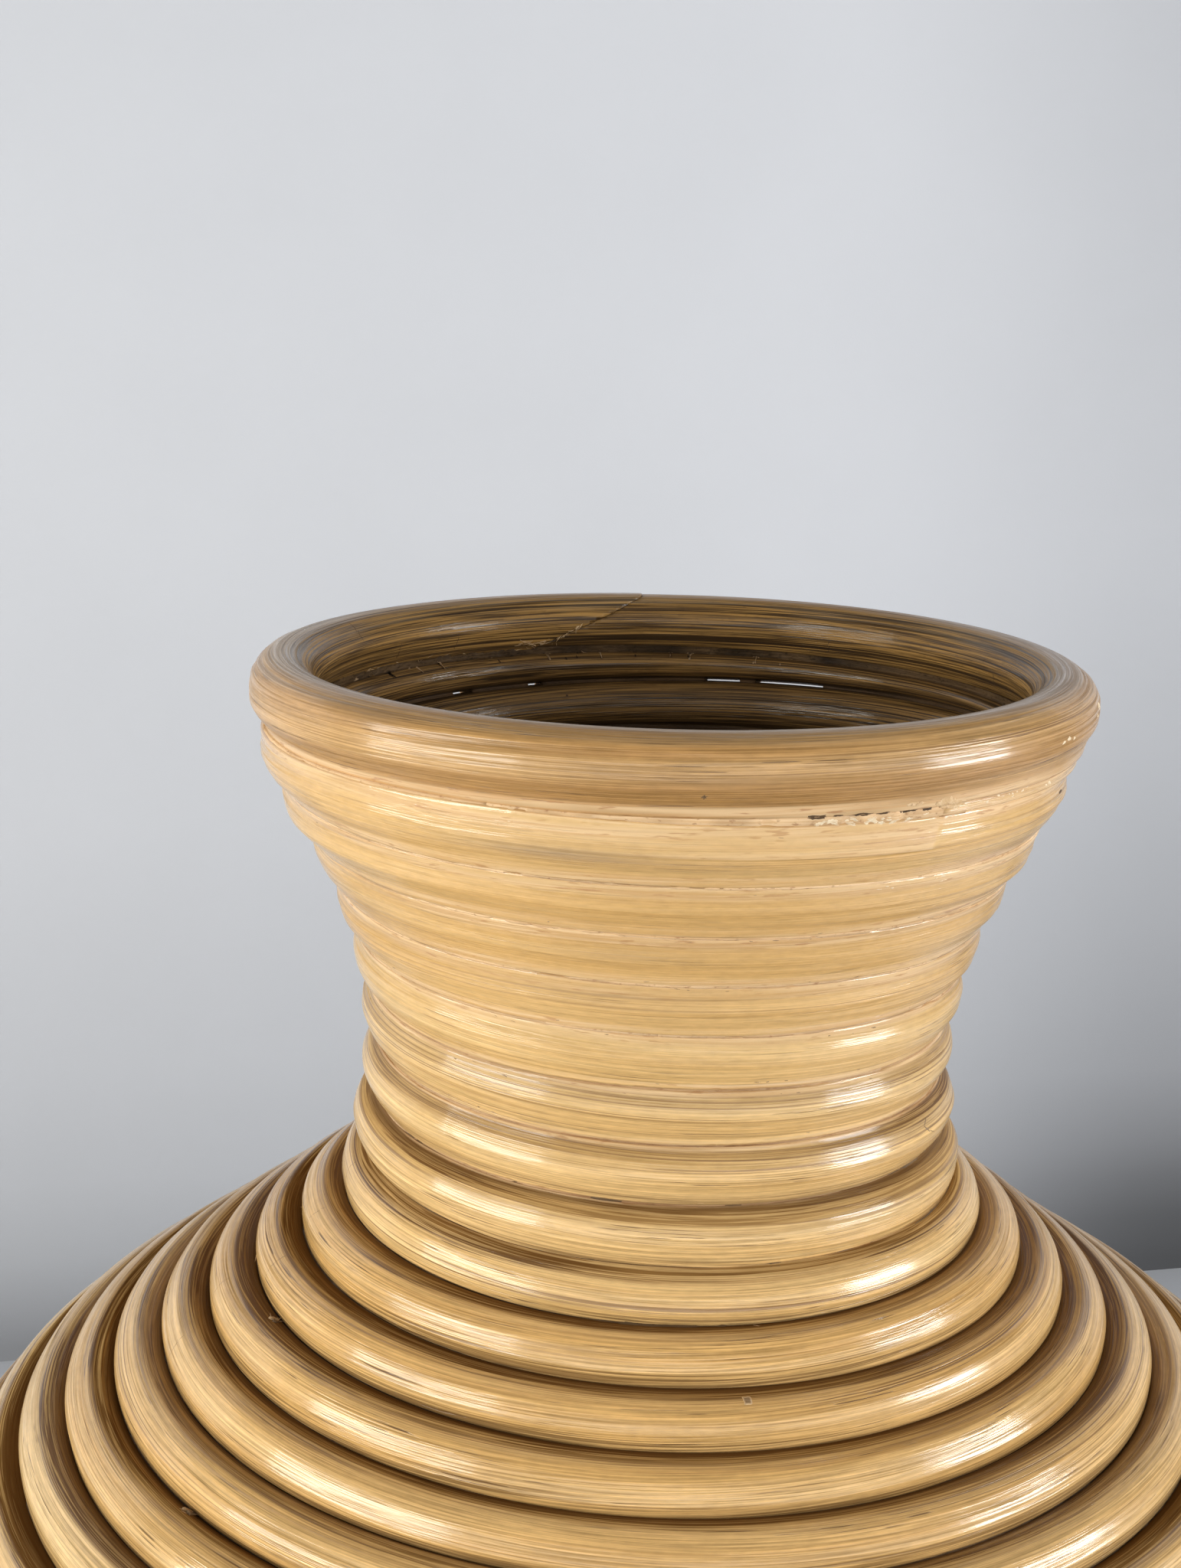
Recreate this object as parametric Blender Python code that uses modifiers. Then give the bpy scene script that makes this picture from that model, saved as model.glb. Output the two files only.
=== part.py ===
"""Rattan floor vase.

Peeled rattan pole is wound turn on turn into a shell with a wide mouth, a
narrow neck and a full belly.  A level ring closes the mouth and another one
stands on the floor; the first and the last turn of the coil are shaved to a
long taper so that the sloping coil meets the two level rings.  The coil is
made of several pole lengths, joined end to end by glued scarfs with two brads
through each.  A plywood board closes the bottom inside the foot ring.

Metres, +Z up, origin on the vase's axis at floor level.
"""
import math

import bmesh
import bpy
import numpy as np
from mathutils import Vector

# ---------------------------------------------------------------- dimensions
MOUTH_RADIUS = 0.140            # outside of the rim ring
RIM_POLE_RADIUS = 0.0111        # the rim ring is bent from a thicker pole
COIL_POLE_RADIUS = 0.0097       # every turn of the coil
FOOT_POLE_RADIUS = 0.0100
TURN_GAP = 0.0004               # glue line between neighbouring turns
RIM_HEIGHT = 0.6315             # centre of the rim pole above the floor
FOOT_HEIGHT = 0.0085            # centre of the foot pole above the floor

# Wall shape: depth below the rim pole's centre -> radius of the pole centres
# (mouth, throat, neck, corner of the shoulder, shoulder, belly, foot).
WALL_STATIONS = (
    (0.0084, 0.1320),
    (0.0336, 0.1197),
    (0.0630, 0.1049),
    (0.0980, 0.0945),
    (0.1288, 0.0923),
    (0.1540, 0.0960),
    (0.1708, 0.1003),
    (0.1848, 0.1144),
    (0.1988, 0.1317),
    (0.2240, 0.1658),
    (0.2590, 0.2145),
    (0.3080, 0.2455),
    (0.3710, 0.2570),
    (0.4410, 0.2470),
    (0.5110, 0.2215),
    (0.5740, 0.1840),
    (0.6230, 0.1420),
)

STEPS_PER_TURN = 20             # path points in one turn
FIRST_TOUCH = 0.94              # turn count where the coil first touches the rim ring
FIRST_TURN_START = 0.10         # where the shaved tip of the first turn begins
LAST_TURN_STOP = 0.90           # where the shaved tip of the last turn ends
TIP_CLEARANCE = 0.0003          # gap above and below a shaved turn
EASE_TURNS = 0.40               # over which a shaved turn moves out to the wall's curve
SHAVED_WIDTH = 3.2              # most that a shaved turn is wider than it is high

POLE_LENGTH = 2.45              # shortest full pole in the coil
SCARF_STAGGER = 0.11            # of a turn, between the scarfs at the back
SCARF_SLOPE = 0.53              # rise over run of a scarf face
SCARF_GAP = 0.0003
BRAD_RADIUS = 0.0008
BRAD_CLEARANCE = 0.0003
BRAD_LENGTH = 0.014
BRAD_OFFSETS = (-0.009, 0.0)    # along the pole from the middle of the scarf

BOARD_THICKNESS = 0.009
BOARD_HEIGHT = 0.0040           # underside of the board above the floor
BOARD_BRADS = 6
BOARD_BRAD_LENGTH = 0.028

# ------------------------------------------------------------------- scene
for old in list(bpy.data.objects):
    bpy.data.objects.remove(old, do_unlink=True)

scene = bpy.context.scene
vase = bpy.data.collections.new("rattan_floor_vase")
cutters = bpy.data.collections.new("cutters")
scene.collection.children.link(vase)
scene.collection.children.link(cutters)


def material(name, rgb, roughness, metallic=0.0):
    mat = bpy.data.materials.new(name)
    mat.use_nodes = True
    shader = mat.node_tree.nodes["Principled BSDF"]
    shader.inputs["Base Color"].default_value = (*rgb, 1.0)
    shader.inputs["Roughness"].default_value = roughness
    shader.inputs["Metallic"].default_value = metallic
    mat.diffuse_color = (*rgb, 1.0)
    return mat


# --------------------------------------------------------------- wall shape
def natural_spline(x, y):
    """Natural cubic spline through the points, as a function of x."""
    x, y = np.asarray(x, float), np.asarray(y, float)
    n, h = len(x), np.diff(x)
    a, b = np.zeros((n, n)), np.zeros(n)
    a[0, 0] = a[-1, -1] = 1.0
    for i in range(1, n - 1):
        a[i, i - 1:i + 2] = h[i - 1], 2 * (h[i - 1] + h[i]), h[i]
        b[i] = 6 * ((y[i + 1] - y[i]) / h[i] - (y[i] - y[i - 1]) / h[i - 1])
    m = np.linalg.solve(a, b)

    def value(q):
        k = np.clip(np.searchsorted(x, q) - 1, 0, n - 2)
        t, hk = q - x[k], h[k]
        slope = (y[k + 1] - y[k]) / hk - hk * (2 * m[k] + m[k + 1]) / 6
        return y[k] + t * slope + t * t * m[k] / 2 + t ** 3 * (m[k + 1] - m[k]) / (6 * hk)

    return value


PITCH = 2 * COIL_POLE_RADIUS + TURN_GAP
RIM_RADIUS = MOUTH_RADIUS - RIM_POLE_RADIUS
RIM_CENTRE = np.array([RIM_RADIUS, RIM_HEIGHT])

_depth = np.linspace(WALL_STATIONS[0][0], WALL_STATIONS[-1][0], 4000)
_radius = natural_spline(*zip(*WALL_STATIONS))(_depth)
_height = RIM_HEIGHT - _depth
_arc = np.concatenate([[0.0], np.cumsum(np.hypot(np.diff(_depth), np.diff(_radius)))])
WALL_END = float(_arc[-1])
FOOT_RADIUS = WALL_STATIONS[-1][1]
FOOT_CENTRE = np.array([FOOT_RADIUS, FOOT_HEIGHT])


def wall(s):
    """(radius, height) of the wall's middle at a distance s along it."""
    return np.array([np.interp(s, _arc, _radius), np.interp(s, _arc, _height)])


def distance_where(centre, wanted, low, high, rising):
    """Arc distance at which the wall is a wanted distance from a centre."""
    for _ in range(60):
        mid = 0.5 * (low + high)
        far = np.hypot(*(wall(mid) - centre)) > wanted
        if far == rising:
            high = mid
        else:
            low = mid
    return 0.5 * (low + high)


# The full-size coil runs from where it first touches the rim ring, just left
# of the front, to where it first touches the foot ring.
S_TOUCH = distance_where(RIM_CENTRE, RIM_POLE_RADIUS + COIL_POLE_RADIUS + TURN_GAP,
                         0.0, 0.06, True)
S_LAST = distance_where(FOOT_CENTRE, FOOT_POLE_RADIUS + COIL_POLE_RADIUS + TURN_GAP,
                        WALL_END - 0.06, WALL_END, False)
T_LAST = FIRST_TOUCH + (S_LAST - S_TOUCH) / PITCH      # turn count at S_LAST


def arc_at(t):
    """Distance along the wall of the coil at turn count t."""
    return S_TOUCH + (t - FIRST_TOUCH) * PITCH


def angle_of(t):
    """Angle about the axis at turn count t; whole turns are at the front."""
    return math.radians(-90.0) + 2 * math.pi * t


def between(upper, ru, lower, rl):
    """Middle of the free space between two poles, and how wide it is."""
    span = lower - upper
    dist = float(np.hypot(*span))
    free = dist - ru - rl
    return upper + span / dist * (ru + free / 2), free


# Sideways step from a shaved turn, which lies straight between its
# neighbours, to the full-size coil, which follows the wall's curve.
FIRST_STEP = wall(S_TOUCH) - between(RIM_CENTRE, RIM_POLE_RADIUS,
                                     wall(S_TOUCH + PITCH), COIL_POLE_RADIUS)[0]
LAST_STEP = wall(S_LAST) - between(wall(S_LAST - PITCH), COIL_POLE_RADIUS,
                                   FOOT_CENTRE, FOOT_POLE_RADIUS)[0]


def ease_in(t):
    """Part of that step at turn t, spread over EASE_TURNS of a turn."""
    if t < FIRST_TOUCH:
        u, step = (FIRST_TOUCH - t) / EASE_TURNS, FIRST_STEP
    else:
        u, step = (t - T_LAST) / EASE_TURNS, LAST_STEP
    u = min(max(1.0 - u, 0.0), 1.0)
    return step * (u * u * (3.0 - 2.0 * u))


def neighbours(t):
    """(centre, radius) above and below a shaved turn, None at full size."""
    if t < FIRST_TOUCH:
        return RIM_CENTRE, RIM_POLE_RADIUS, wall(arc_at(t + 1.0)), COIL_POLE_RADIUS
    if t > T_LAST:
        return wall(arc_at(t - 1.0)), COIL_POLE_RADIUS, FOOT_CENTRE, FOOT_POLE_RADIUS
    return None


def coil_section(t):
    """(centre radius, centre height, pole radius) of the coil at turn t; for
    a shaved turn the last is half its height."""
    beside = neighbours(t)
    if beside is None:
        c = wall(arc_at(t))
        return c[0], c[1], COIL_POLE_RADIUS
    c, free = between(*beside)
    c = c + ease_in(t)
    return c[0], c[1], max(free / 2 - TIP_CLEARANCE, 0.0004)


def coil_point(t):
    r, z, _ = coil_section(t)
    a = angle_of(t)
    return np.array([r * math.cos(a), r * math.sin(a), z])


def path_point(t):
    """Point on the straight facet between two path points."""
    k = math.floor(t * STEPS_PER_TURN)
    f = t * STEPS_PER_TURN - k
    return (1 - f) * coil_point(k / STEPS_PER_TURN) + f * coil_point((k + 1) / STEPS_PER_TURN)


def pole_axes(t):
    """Unit vectors at turn t: along the pole, and out of the wall."""
    along = coil_point(t + 0.002) - coil_point(t - 0.002)
    along /= np.linalg.norm(along)
    s = arc_at(t)
    d = wall(s + 0.002) - wall(s - 0.002)
    a = angle_of(t)
    out = np.array([-d[1] * math.cos(a), -d[1] * math.sin(a), d[0]])
    out -= along * out.dot(along)
    return along, out / np.linalg.norm(out)


# ------------------------------------------------------------- tube helpers
def tube_curve(name, points, radii, closed=False):
    """Round tube along a polyline: bevel depth 1 mm scaled by each radius."""
    data = bpy.data.curves.new(name, "CURVE")
    data.dimensions = "3D"
    data.twist_mode = "Z_UP"
    data.bevel_depth = 0.001
    data.bevel_resolution = 2
    data.use_fill_caps = not closed
    line = data.splines.new("POLY")
    line.points.add(len(points) - 1)
    for knot, p, r in zip(line.points, points, radii):
        knot.co = (*p, 1.0)
        knot.radius = r / 0.001
    line.use_cyclic_u = closed
    obj = bpy.data.objects.new(name, data)
    vase.objects.link(obj)
    return obj


def to_mesh(obj, mat):
    """Replace a curve object by its mesh, with the caps welded on."""
    bpy.context.view_layer.update()
    graph = bpy.context.evaluated_depsgraph_get()
    mesh = bpy.data.meshes.new_from_object(obj.evaluated_get(graph))
    place, name = obj.matrix_world.copy(), obj.name
    bpy.data.objects.remove(obj, do_unlink=True)
    mesh.name = name
    bm = bmesh.new()
    bm.from_mesh(mesh)
    bmesh.ops.remove_doubles(bm, verts=bm.verts, dist=1e-6)
    bmesh.ops.recalc_face_normals(bm, faces=bm.faces)
    bm.to_mesh(mesh)
    bm.free()
    new = bpy.data.objects.new(name, mesh)
    new.matrix_world = place
    vase.objects.link(new)
    finish_mesh(new, mat)
    return new


def finish_mesh(obj, mat):
    obj.data.materials.clear()
    obj.data.materials.append(mat)
    obj.data.shade_smooth()
    obj.data.set_sharp_from_angle(angle=math.radians(40))


def scarf_cut(obj, path, first, last, centre, normal):
    """Cut a pole along the plane of a scarf and close the cut.  Only the
    stretch from path point first to path point last is cut; material on the
    normal's side goes away."""
    bm = bmesh.new()
    bm.from_mesh(obj.data)
    spots = np.array([v.co[:] for v in bm.verts])
    nearest = np.argmin(((spots[:, None, :] - path[None, :, :]) ** 2).sum(axis=2), axis=1)
    verts = [v for v, k in zip(bm.verts, nearest) if first <= k <= last]
    chosen = set(verts)
    faces = [f for f in bm.faces if all(v in chosen for v in f.verts)]
    edges = [e for e in bm.edges if all(v in chosen for v in e.verts)]
    bmesh.ops.bisect_plane(bm, geom=verts + edges + faces, dist=1e-7,
                           plane_co=Vector(centre), plane_no=Vector(normal), clear_outer=True)
    rim = [e for e in bm.edges if e.is_boundary]
    bmesh.ops.holes_fill(bm, edges=rim, sides=0)
    bmesh.ops.recalc_face_normals(bm, faces=bm.faces)
    bm.to_mesh(obj.data)
    bm.free()


def keep_width(obj, path, turns):
    """A shaved turn is planed on its upper and lower side only, so its round
    section is stretched outwards and inwards to the full pole's width."""
    radii = np.array([coil_section(t)[2] for t in turns])
    for v in obj.data.vertices:
        arm = np.array(v.co[:]) - path
        k = int(np.argmin(np.linalg.norm(arm, axis=1) / radii))
        beside = neighbours(turns[k])
        if beside is None:
            continue
        half = radii[k]
        wide = max(half, min(COIL_POLE_RADIUS, SHAVED_WIDTH * half))
        fall = beside[2] - beside[0]
        fall = fall / np.linalg.norm(fall)
        a = angle_of(turns[k])
        out = np.array([-fall[1] * math.cos(a), -fall[1] * math.sin(a), fall[0]])
        v.co += Vector(out * (arm[k].dot(out) * (wide / half - 1.0)))
    obj.data.update()


def boolean(obj, cutter, name):
    mod = obj.modifiers.new(name, "BOOLEAN")
    mod.operation = "DIFFERENCE"
    mod.solver = "EXACT"
    mod.object = cutter


def hide_cutter(obj):
    obj.hide_render = True
    obj.display_type = "WIRE"


def box_cutter(name, size, centre, x_axis, z_axis):
    """Box cutter with its X and Z edges along two given directions."""
    x = Vector(x_axis).normalized()
    z = Vector(z_axis).normalized()
    y = z.cross(x)
    mesh = bpy.data.meshes.new(name)
    bm = bmesh.new()
    bmesh.ops.create_cube(bm, size=1.0)
    for v in bm.verts:
        v.co = Vector(centre) + x * (v.co.x * size[0]) + y * (v.co.y * size[1]) + z * (v.co.z * size[2])
    bm.to_mesh(mesh)
    bm.free()
    obj = bpy.data.objects.new(name, mesh)
    cutters.objects.link(obj)
    hide_cutter(obj)
    return obj


def rod(name, collection, outer, inward, length, radius, sides=8):
    """Straight rod from an outer end along a direction."""
    mesh = bpy.data.meshes.new(name)
    bm = bmesh.new()
    bmesh.ops.create_cone(bm, cap_ends=True, segments=sides, radius1=radius,
                          radius2=radius, depth=length)
    turn = Vector((0, 0, 1)).rotation_difference(Vector(inward)).to_matrix().to_4x4()
    bmesh.ops.transform(bm, matrix=turn, verts=bm.verts)
    bm.to_mesh(mesh)
    bm.free()
    obj = bpy.data.objects.new(name, mesh)
    obj.location = Vector(outer) + Vector(inward) * (length / 2)
    collection.objects.link(obj)
    return obj


brad_steel = material("brad_steel", (0.36, 0.35, 0.33), 0.45, 0.9)


def brad(name, surface, inward, length, targets, sink=0.0005):
    """A headless brad driven in at a surface point, with its clearance hole
    in each piece that it joins."""
    inward = Vector(inward).normalized()
    start = Vector(surface) + inward * sink
    nail = rod(name, vase, start, inward, length, BRAD_RADIUS)
    finish_mesh(nail, brad_steel)
    hole = rod(name + "_hole", cutters, start - inward * 0.008, inward,
               length + 0.008 + BRAD_CLEARANCE, BRAD_RADIUS + BRAD_CLEARANCE)
    hide_cutter(hole)
    for piece in targets:
        boolean(piece, hole, name)


# ------------------------------------------------------------ the rim ring
rim_mat = material("rim_rattan", (0.42, 0.27, 0.12), 0.34)
RIM_STEPS = STEPS_PER_TURN
RIM_SCARF_ANGLE = math.radians(107.0)      # at the back of the mouth
RIM_SCARF_RISE = 0.44


def ring_points(radius, height, steps):
    return [(radius * math.cos(2 * math.pi * k / steps),
             radius * math.sin(2 * math.pi * k / steps), height) for k in range(steps)]


rim = to_mesh(tube_curve("rim_ring", ring_points(RIM_RADIUS, RIM_HEIGHT, RIM_STEPS),
                         [RIM_POLE_RADIUS] * RIM_STEPS, closed=True), rim_mat)
a = RIM_SCARF_ANGLE
radial = Vector((math.cos(a), math.sin(a), 0))
tangent = Vector((-math.sin(a), math.cos(a), 0))
slope_dir = (tangent * -1.0 + Vector((0, 0, 1)) * RIM_SCARF_RISE).normalized()
boolean(rim, box_cutter("rim_scarf", (0.072, 0.034, SCARF_GAP),
                        radial * RIM_RADIUS + Vector((0, 0, RIM_HEIGHT)),
                        slope_dir, radial.cross(slope_dir)), "scarf")
for n, shift in enumerate((-0.008, 0.008), 1):
    spot = radial * RIM_RADIUS + tangent * shift
    brad("rim_scarf_brad_%d" % n, (spot.x, spot.y, RIM_HEIGHT + RIM_POLE_RADIUS * 0.92),
         (0, 0, -1), 0.016, [rim])

# ------------------------------------------------------------ the foot ring
foot_mat = material("foot_rattan", (0.50, 0.31, 0.13), 0.42)
FOOT_STEPS = STEPS_PER_TURN
foot = to_mesh(tube_curve("foot_ring", ring_points(FOOT_RADIUS, FOOT_HEIGHT, FOOT_STEPS),
                          [FOOT_POLE_RADIUS] * FOOT_STEPS, closed=True), foot_mat)
boolean(foot, box_cutter("floor_sanding", (0.5, 0.5, 0.020), (0, 0, -0.010),
                         (1, 0, 0), (0, 0, 1)), "sanded_flat")
a = math.radians(75.0)
radial = Vector((math.cos(a), math.sin(a), 0))
tangent = Vector((-math.sin(a), math.cos(a), 0))
slope_dir = (tangent * -1.0 + Vector((0, 0, 1)) * RIM_SCARF_RISE).normalized()
boolean(foot, box_cutter("foot_scarf", (0.066, 0.030, SCARF_GAP),
                         radial * FOOT_RADIUS + Vector((0, 0, FOOT_HEIGHT)),
                         slope_dir, radial.cross(slope_dir)), "scarf")

# --------------------------------------------------------- the bottom board
board_mat = material("birch_plywood", (0.55, 0.42, 0.26), 0.6)
BOARD_RADIUS = (FOOT_RADIUS - FOOT_POLE_RADIUS) * math.cos(math.pi / FOOT_STEPS) - 0.0005
mesh = bpy.data.meshes.new("base_board")
bm = bmesh.new()
bmesh.ops.create_cone(bm, cap_ends=True, segments=FOOT_STEPS, radius1=BOARD_RADIUS,
                      radius2=BOARD_RADIUS, depth=BOARD_THICKNESS)
bm.to_mesh(mesh)
bm.free()
board = bpy.data.objects.new("base_board", mesh)
board.location = (0, 0, BOARD_HEIGHT + BOARD_THICKNESS / 2)
vase.objects.link(board)
finish_mesh(board, board_mat)
edge = board.modifiers.new("eased_edges", "BEVEL")
edge.width = 0.0008
edge.segments = 1
for n in range(BOARD_BRADS):
    a = 2 * math.pi * (n + 0.5) / BOARD_BRADS
    out = Vector((math.cos(a), math.sin(a), 0))
    face = FOOT_RADIUS + FOOT_POLE_RADIUS * 0.90
    brad("board_brad_%d" % (n + 1), out * face + Vector((0, 0, FOOT_HEIGHT)), -out,
         BOARD_BRAD_LENGTH, [foot, board])

# ------------------------------------------------------------ the coil poles
coil_mats = [material("coil_rattan_%s" % tone, rgb, 0.33) for tone, rgb in (
    ("honey", (0.62, 0.40, 0.16)), ("straw", (0.66, 0.45, 0.20)), ("tan", (0.56, 0.35, 0.14)))]

T_START = FIRST_TURN_START
T_STOP = T_LAST + LAST_TURN_STOP


def length_between(t0, t1):
    """Length of pole between two turn counts, 0 if they are out of order."""
    if t1 <= t0:
        return 0.0
    t = np.linspace(t0, t1, max(2, int((t1 - t0) * 48)))
    p = np.array([coil_point(q) for q in t])
    return float(np.linalg.norm(np.diff(p, axis=0), axis=1).sum())


def scarf_turns():
    """Turn counts of the scarfs: one for every pole length along the coil,
    each moved on to the back of the vase and staggered from its neighbours."""
    marks, t = [], T_START
    while length_between(t, T_STOP) > 1.5 * POLE_LENGTH:
        back = 0.5 + SCARF_STAGGER * (len(marks) % 3 - 1)
        mark = math.floor(t) + back
        while length_between(t, mark) < POLE_LENGTH:
            mark += 1.0
        t = mark
        marks.append(t)
    return marks


SCARFS = scarf_turns()
ENDS = [T_START] + SCARFS + [T_STOP]
OVERRUN = 0.030                 # a pole is made this much past its scarf, then cut


def scarf_plane(t):
    """Middle and normal of a scarf; the normal points to the lower pole,
    whose tongue lies on the outside."""
    along, out = pole_axes(t)
    normal = along * SCARF_SLOPE + out
    return path_point(t), normal / np.linalg.norm(normal)


poles = []
for n in range(len(ENDS) - 1):
    first_k = math.ceil(ENDS[n] * STEPS_PER_TURN)
    last_k = math.floor(ENDS[n + 1] * STEPS_PER_TURN)
    while n > 0 and length_between(first_k / STEPS_PER_TURN, ENDS[n]) < OVERRUN:
        first_k -= 1
    while n < len(ENDS) - 2 and length_between(ENDS[n + 1], last_k / STEPS_PER_TURN) < OVERRUN:
        last_k += 1
    turns = [k / STEPS_PER_TURN for k in range(first_k, last_k + 1)]
    path = np.array([coil_point(t) for t in turns])
    tone = coil_mats[n % len(coil_mats)]
    pole = to_mesh(tube_curve("coil_pole_%02d" % (n + 1), path,
                              [coil_section(t)[2] for t in turns]), tone)
    keep_width(pole, path, turns)
    if n > 0:
        middle, normal = scarf_plane(ENDS[n])
        near = sum(1 for t in turns if length_between(ENDS[n], t) < OVERRUN or t < ENDS[n])
        scarf_cut(pole, path, 0, near, middle + normal * (SCARF_GAP / 2), -normal)
    if n < len(ENDS) - 2:
        middle, normal = scarf_plane(ENDS[n + 1])
        near = sum(1 for t in turns if length_between(t, ENDS[n + 1]) < OVERRUN or t > ENDS[n + 1])
        scarf_cut(pole, path, len(turns) - 1 - near, len(turns) - 1,
                  middle - normal * (SCARF_GAP / 2), normal)
    finish_mesh(pole, tone)
    poles.append(pole)

# two brads through every scarf, driven in from the outside
for n, t in enumerate(SCARFS):
    along, out = pole_axes(t)
    per_metre = 1.0 / (2 * math.pi * coil_section(t)[0])
    for m, offset in enumerate(BRAD_OFFSETS):
        spot = path_point(t + offset * per_metre) + out * (COIL_POLE_RADIUS * 0.93)
        brad("scarf_%02d_brad_%d" % (n + 1, m + 1), spot, -out, BRAD_LENGTH,
             [poles[n], poles[n + 1]])

print("turn counts at the scarfs", [round(t, 2) for t in SCARFS], "last", round(T_LAST, 2))
print("pole lengths", [round(length_between(p, q), 2) for p, q in zip(ENDS[:-1], ENDS[1:])],
      "in all", round(length_between(ENDS[0], ENDS[-1]), 2))
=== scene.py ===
"""Rattan floor vase: the finish of every surface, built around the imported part.

The coil, the rim and the foot are swept again at full detail along the same
winding as the part's own poles: fibre flutes, growth nodes, slight changes of
thickness, the sanded outside, glue in the grooves, filled brad holes and a few
lifted fibres.
"""
import math

import bmesh
import bpy
import numpy as np
from mathutils import Matrix, Vector
from mathutils.bvhtree import BVHTree


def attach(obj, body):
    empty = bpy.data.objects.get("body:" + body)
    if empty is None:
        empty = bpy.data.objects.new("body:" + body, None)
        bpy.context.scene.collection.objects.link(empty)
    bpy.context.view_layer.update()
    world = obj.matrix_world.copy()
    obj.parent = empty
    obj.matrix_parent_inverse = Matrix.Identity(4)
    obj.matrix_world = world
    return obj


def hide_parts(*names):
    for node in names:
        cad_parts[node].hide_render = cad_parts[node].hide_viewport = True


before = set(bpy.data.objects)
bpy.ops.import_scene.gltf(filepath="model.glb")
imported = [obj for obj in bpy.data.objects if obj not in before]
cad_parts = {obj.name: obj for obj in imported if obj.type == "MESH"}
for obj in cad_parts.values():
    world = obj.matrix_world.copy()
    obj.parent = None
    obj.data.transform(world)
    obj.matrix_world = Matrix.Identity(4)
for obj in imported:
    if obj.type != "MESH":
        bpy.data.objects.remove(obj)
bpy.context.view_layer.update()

scene = bpy.context.scene

# --------------------------------------------------------------- the winding
MOUTH_RADIUS = 0.140
RIM_R = 0.0111
POLE_R = 0.0097
FOOT_R = 0.0100
TURN_GAP = 0.0004
RIM_Z = 0.6315
FOOT_Z = 0.0085
STATIONS = (
    (0.0084, 0.1320), (0.0336, 0.1197), (0.0630, 0.1049), (0.0980, 0.0945),
    (0.1288, 0.0923), (0.1540, 0.0960), (0.1708, 0.1003), (0.1848, 0.1144),
    (0.1988, 0.1317), (0.2240, 0.1658), (0.2590, 0.2145), (0.3080, 0.2455),
    (0.3710, 0.2570), (0.4410, 0.2470), (0.5110, 0.2215), (0.5740, 0.1840),
    (0.6230, 0.1420),
)
FIRST_TOUCH = 0.94
T_START = 0.10
LAST_STOP = 0.90
PITCH = 2 * POLE_R + TURN_GAP
POLE_LENGTH = 2.45
STAGGER = 0.11
SCARF_SLOPE = 0.53
TAU = 2 * math.pi


def natural_spline(x, y):
    x, y = np.asarray(x, float), np.asarray(y, float)
    n, h = len(x), np.diff(x)
    a, b = np.zeros((n, n)), np.zeros(n)
    a[0, 0] = a[-1, -1] = 1.0
    for i in range(1, n - 1):
        a[i, i - 1:i + 2] = h[i - 1], 2 * (h[i - 1] + h[i]), h[i]
        b[i] = 6 * ((y[i + 1] - y[i]) / h[i] - (y[i] - y[i - 1]) / h[i - 1])
    m = np.linalg.solve(a, b)

    def value(q):
        k = np.clip(np.searchsorted(x, q) - 1, 0, n - 2)
        t, hk = q - x[k], h[k]
        slope = (y[k + 1] - y[k]) / hk - hk * (2 * m[k] + m[k + 1]) / 6
        return y[k] + t * slope + t * t * m[k] / 2 + t ** 3 * (m[k + 1] - m[k]) / (6 * hk)

    return value


_depth = np.linspace(STATIONS[0][0], STATIONS[-1][0], 4000)
_radius = natural_spline(*zip(*STATIONS))(_depth)
_arc = np.concatenate([[0.0], np.cumsum(np.hypot(np.diff(_depth), np.diff(_radius)))])
RIM_C = np.array([MOUTH_RADIUS - RIM_R, RIM_Z])
FOOT_C = np.array([STATIONS[-1][1], FOOT_Z])


def wall(s):
    s = np.asarray(s, float)
    return np.stack([np.interp(s, _arc, _radius), RIM_Z - np.interp(s, _arc, _depth)], -1)


def distance_where(centre, wanted, low, high, rising):
    for _ in range(60):
        mid = 0.5 * (low + high)
        far = np.hypot(*(wall(mid) - centre)) > wanted
        if far == rising:
            high = mid
        else:
            low = mid
    return 0.5 * (low + high)


S_TOUCH = distance_where(RIM_C, RIM_R + POLE_R + TURN_GAP, 0.0, 0.06, True)
S_LAST = distance_where(FOOT_C, FOOT_R + POLE_R + TURN_GAP, _arc[-1] - 0.06, _arc[-1], False)
T_LAST = FIRST_TOUCH + (S_LAST - S_TOUCH) / PITCH
T_STOP = T_LAST + LAST_STOP


def arc_at(t):
    return S_TOUCH + (np.asarray(t, float) - FIRST_TOUCH) * PITCH


def angle_of(t):
    return -0.5 * math.pi + TAU * np.asarray(t, float)


EASE_TURNS = 0.40
SHAVED_WIDTH = 3.2


def between(upper, ru, lower, rl):
    """Middle of the free space between two poles, and how wide it is."""
    span = lower - upper
    dist = np.hypot(span[..., 0], span[..., 1])
    free = dist - ru - rl
    return upper + span / dist[..., None] * (ru + free / 2)[..., None], free


FIRST_STEP = wall(S_TOUCH) - between(RIM_C, RIM_R, wall(S_TOUCH + PITCH), POLE_R)[0]
LAST_STEP = wall(S_LAST) - between(wall(S_LAST - PITCH), POLE_R, FOOT_C, FOOT_R)[0]


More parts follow.
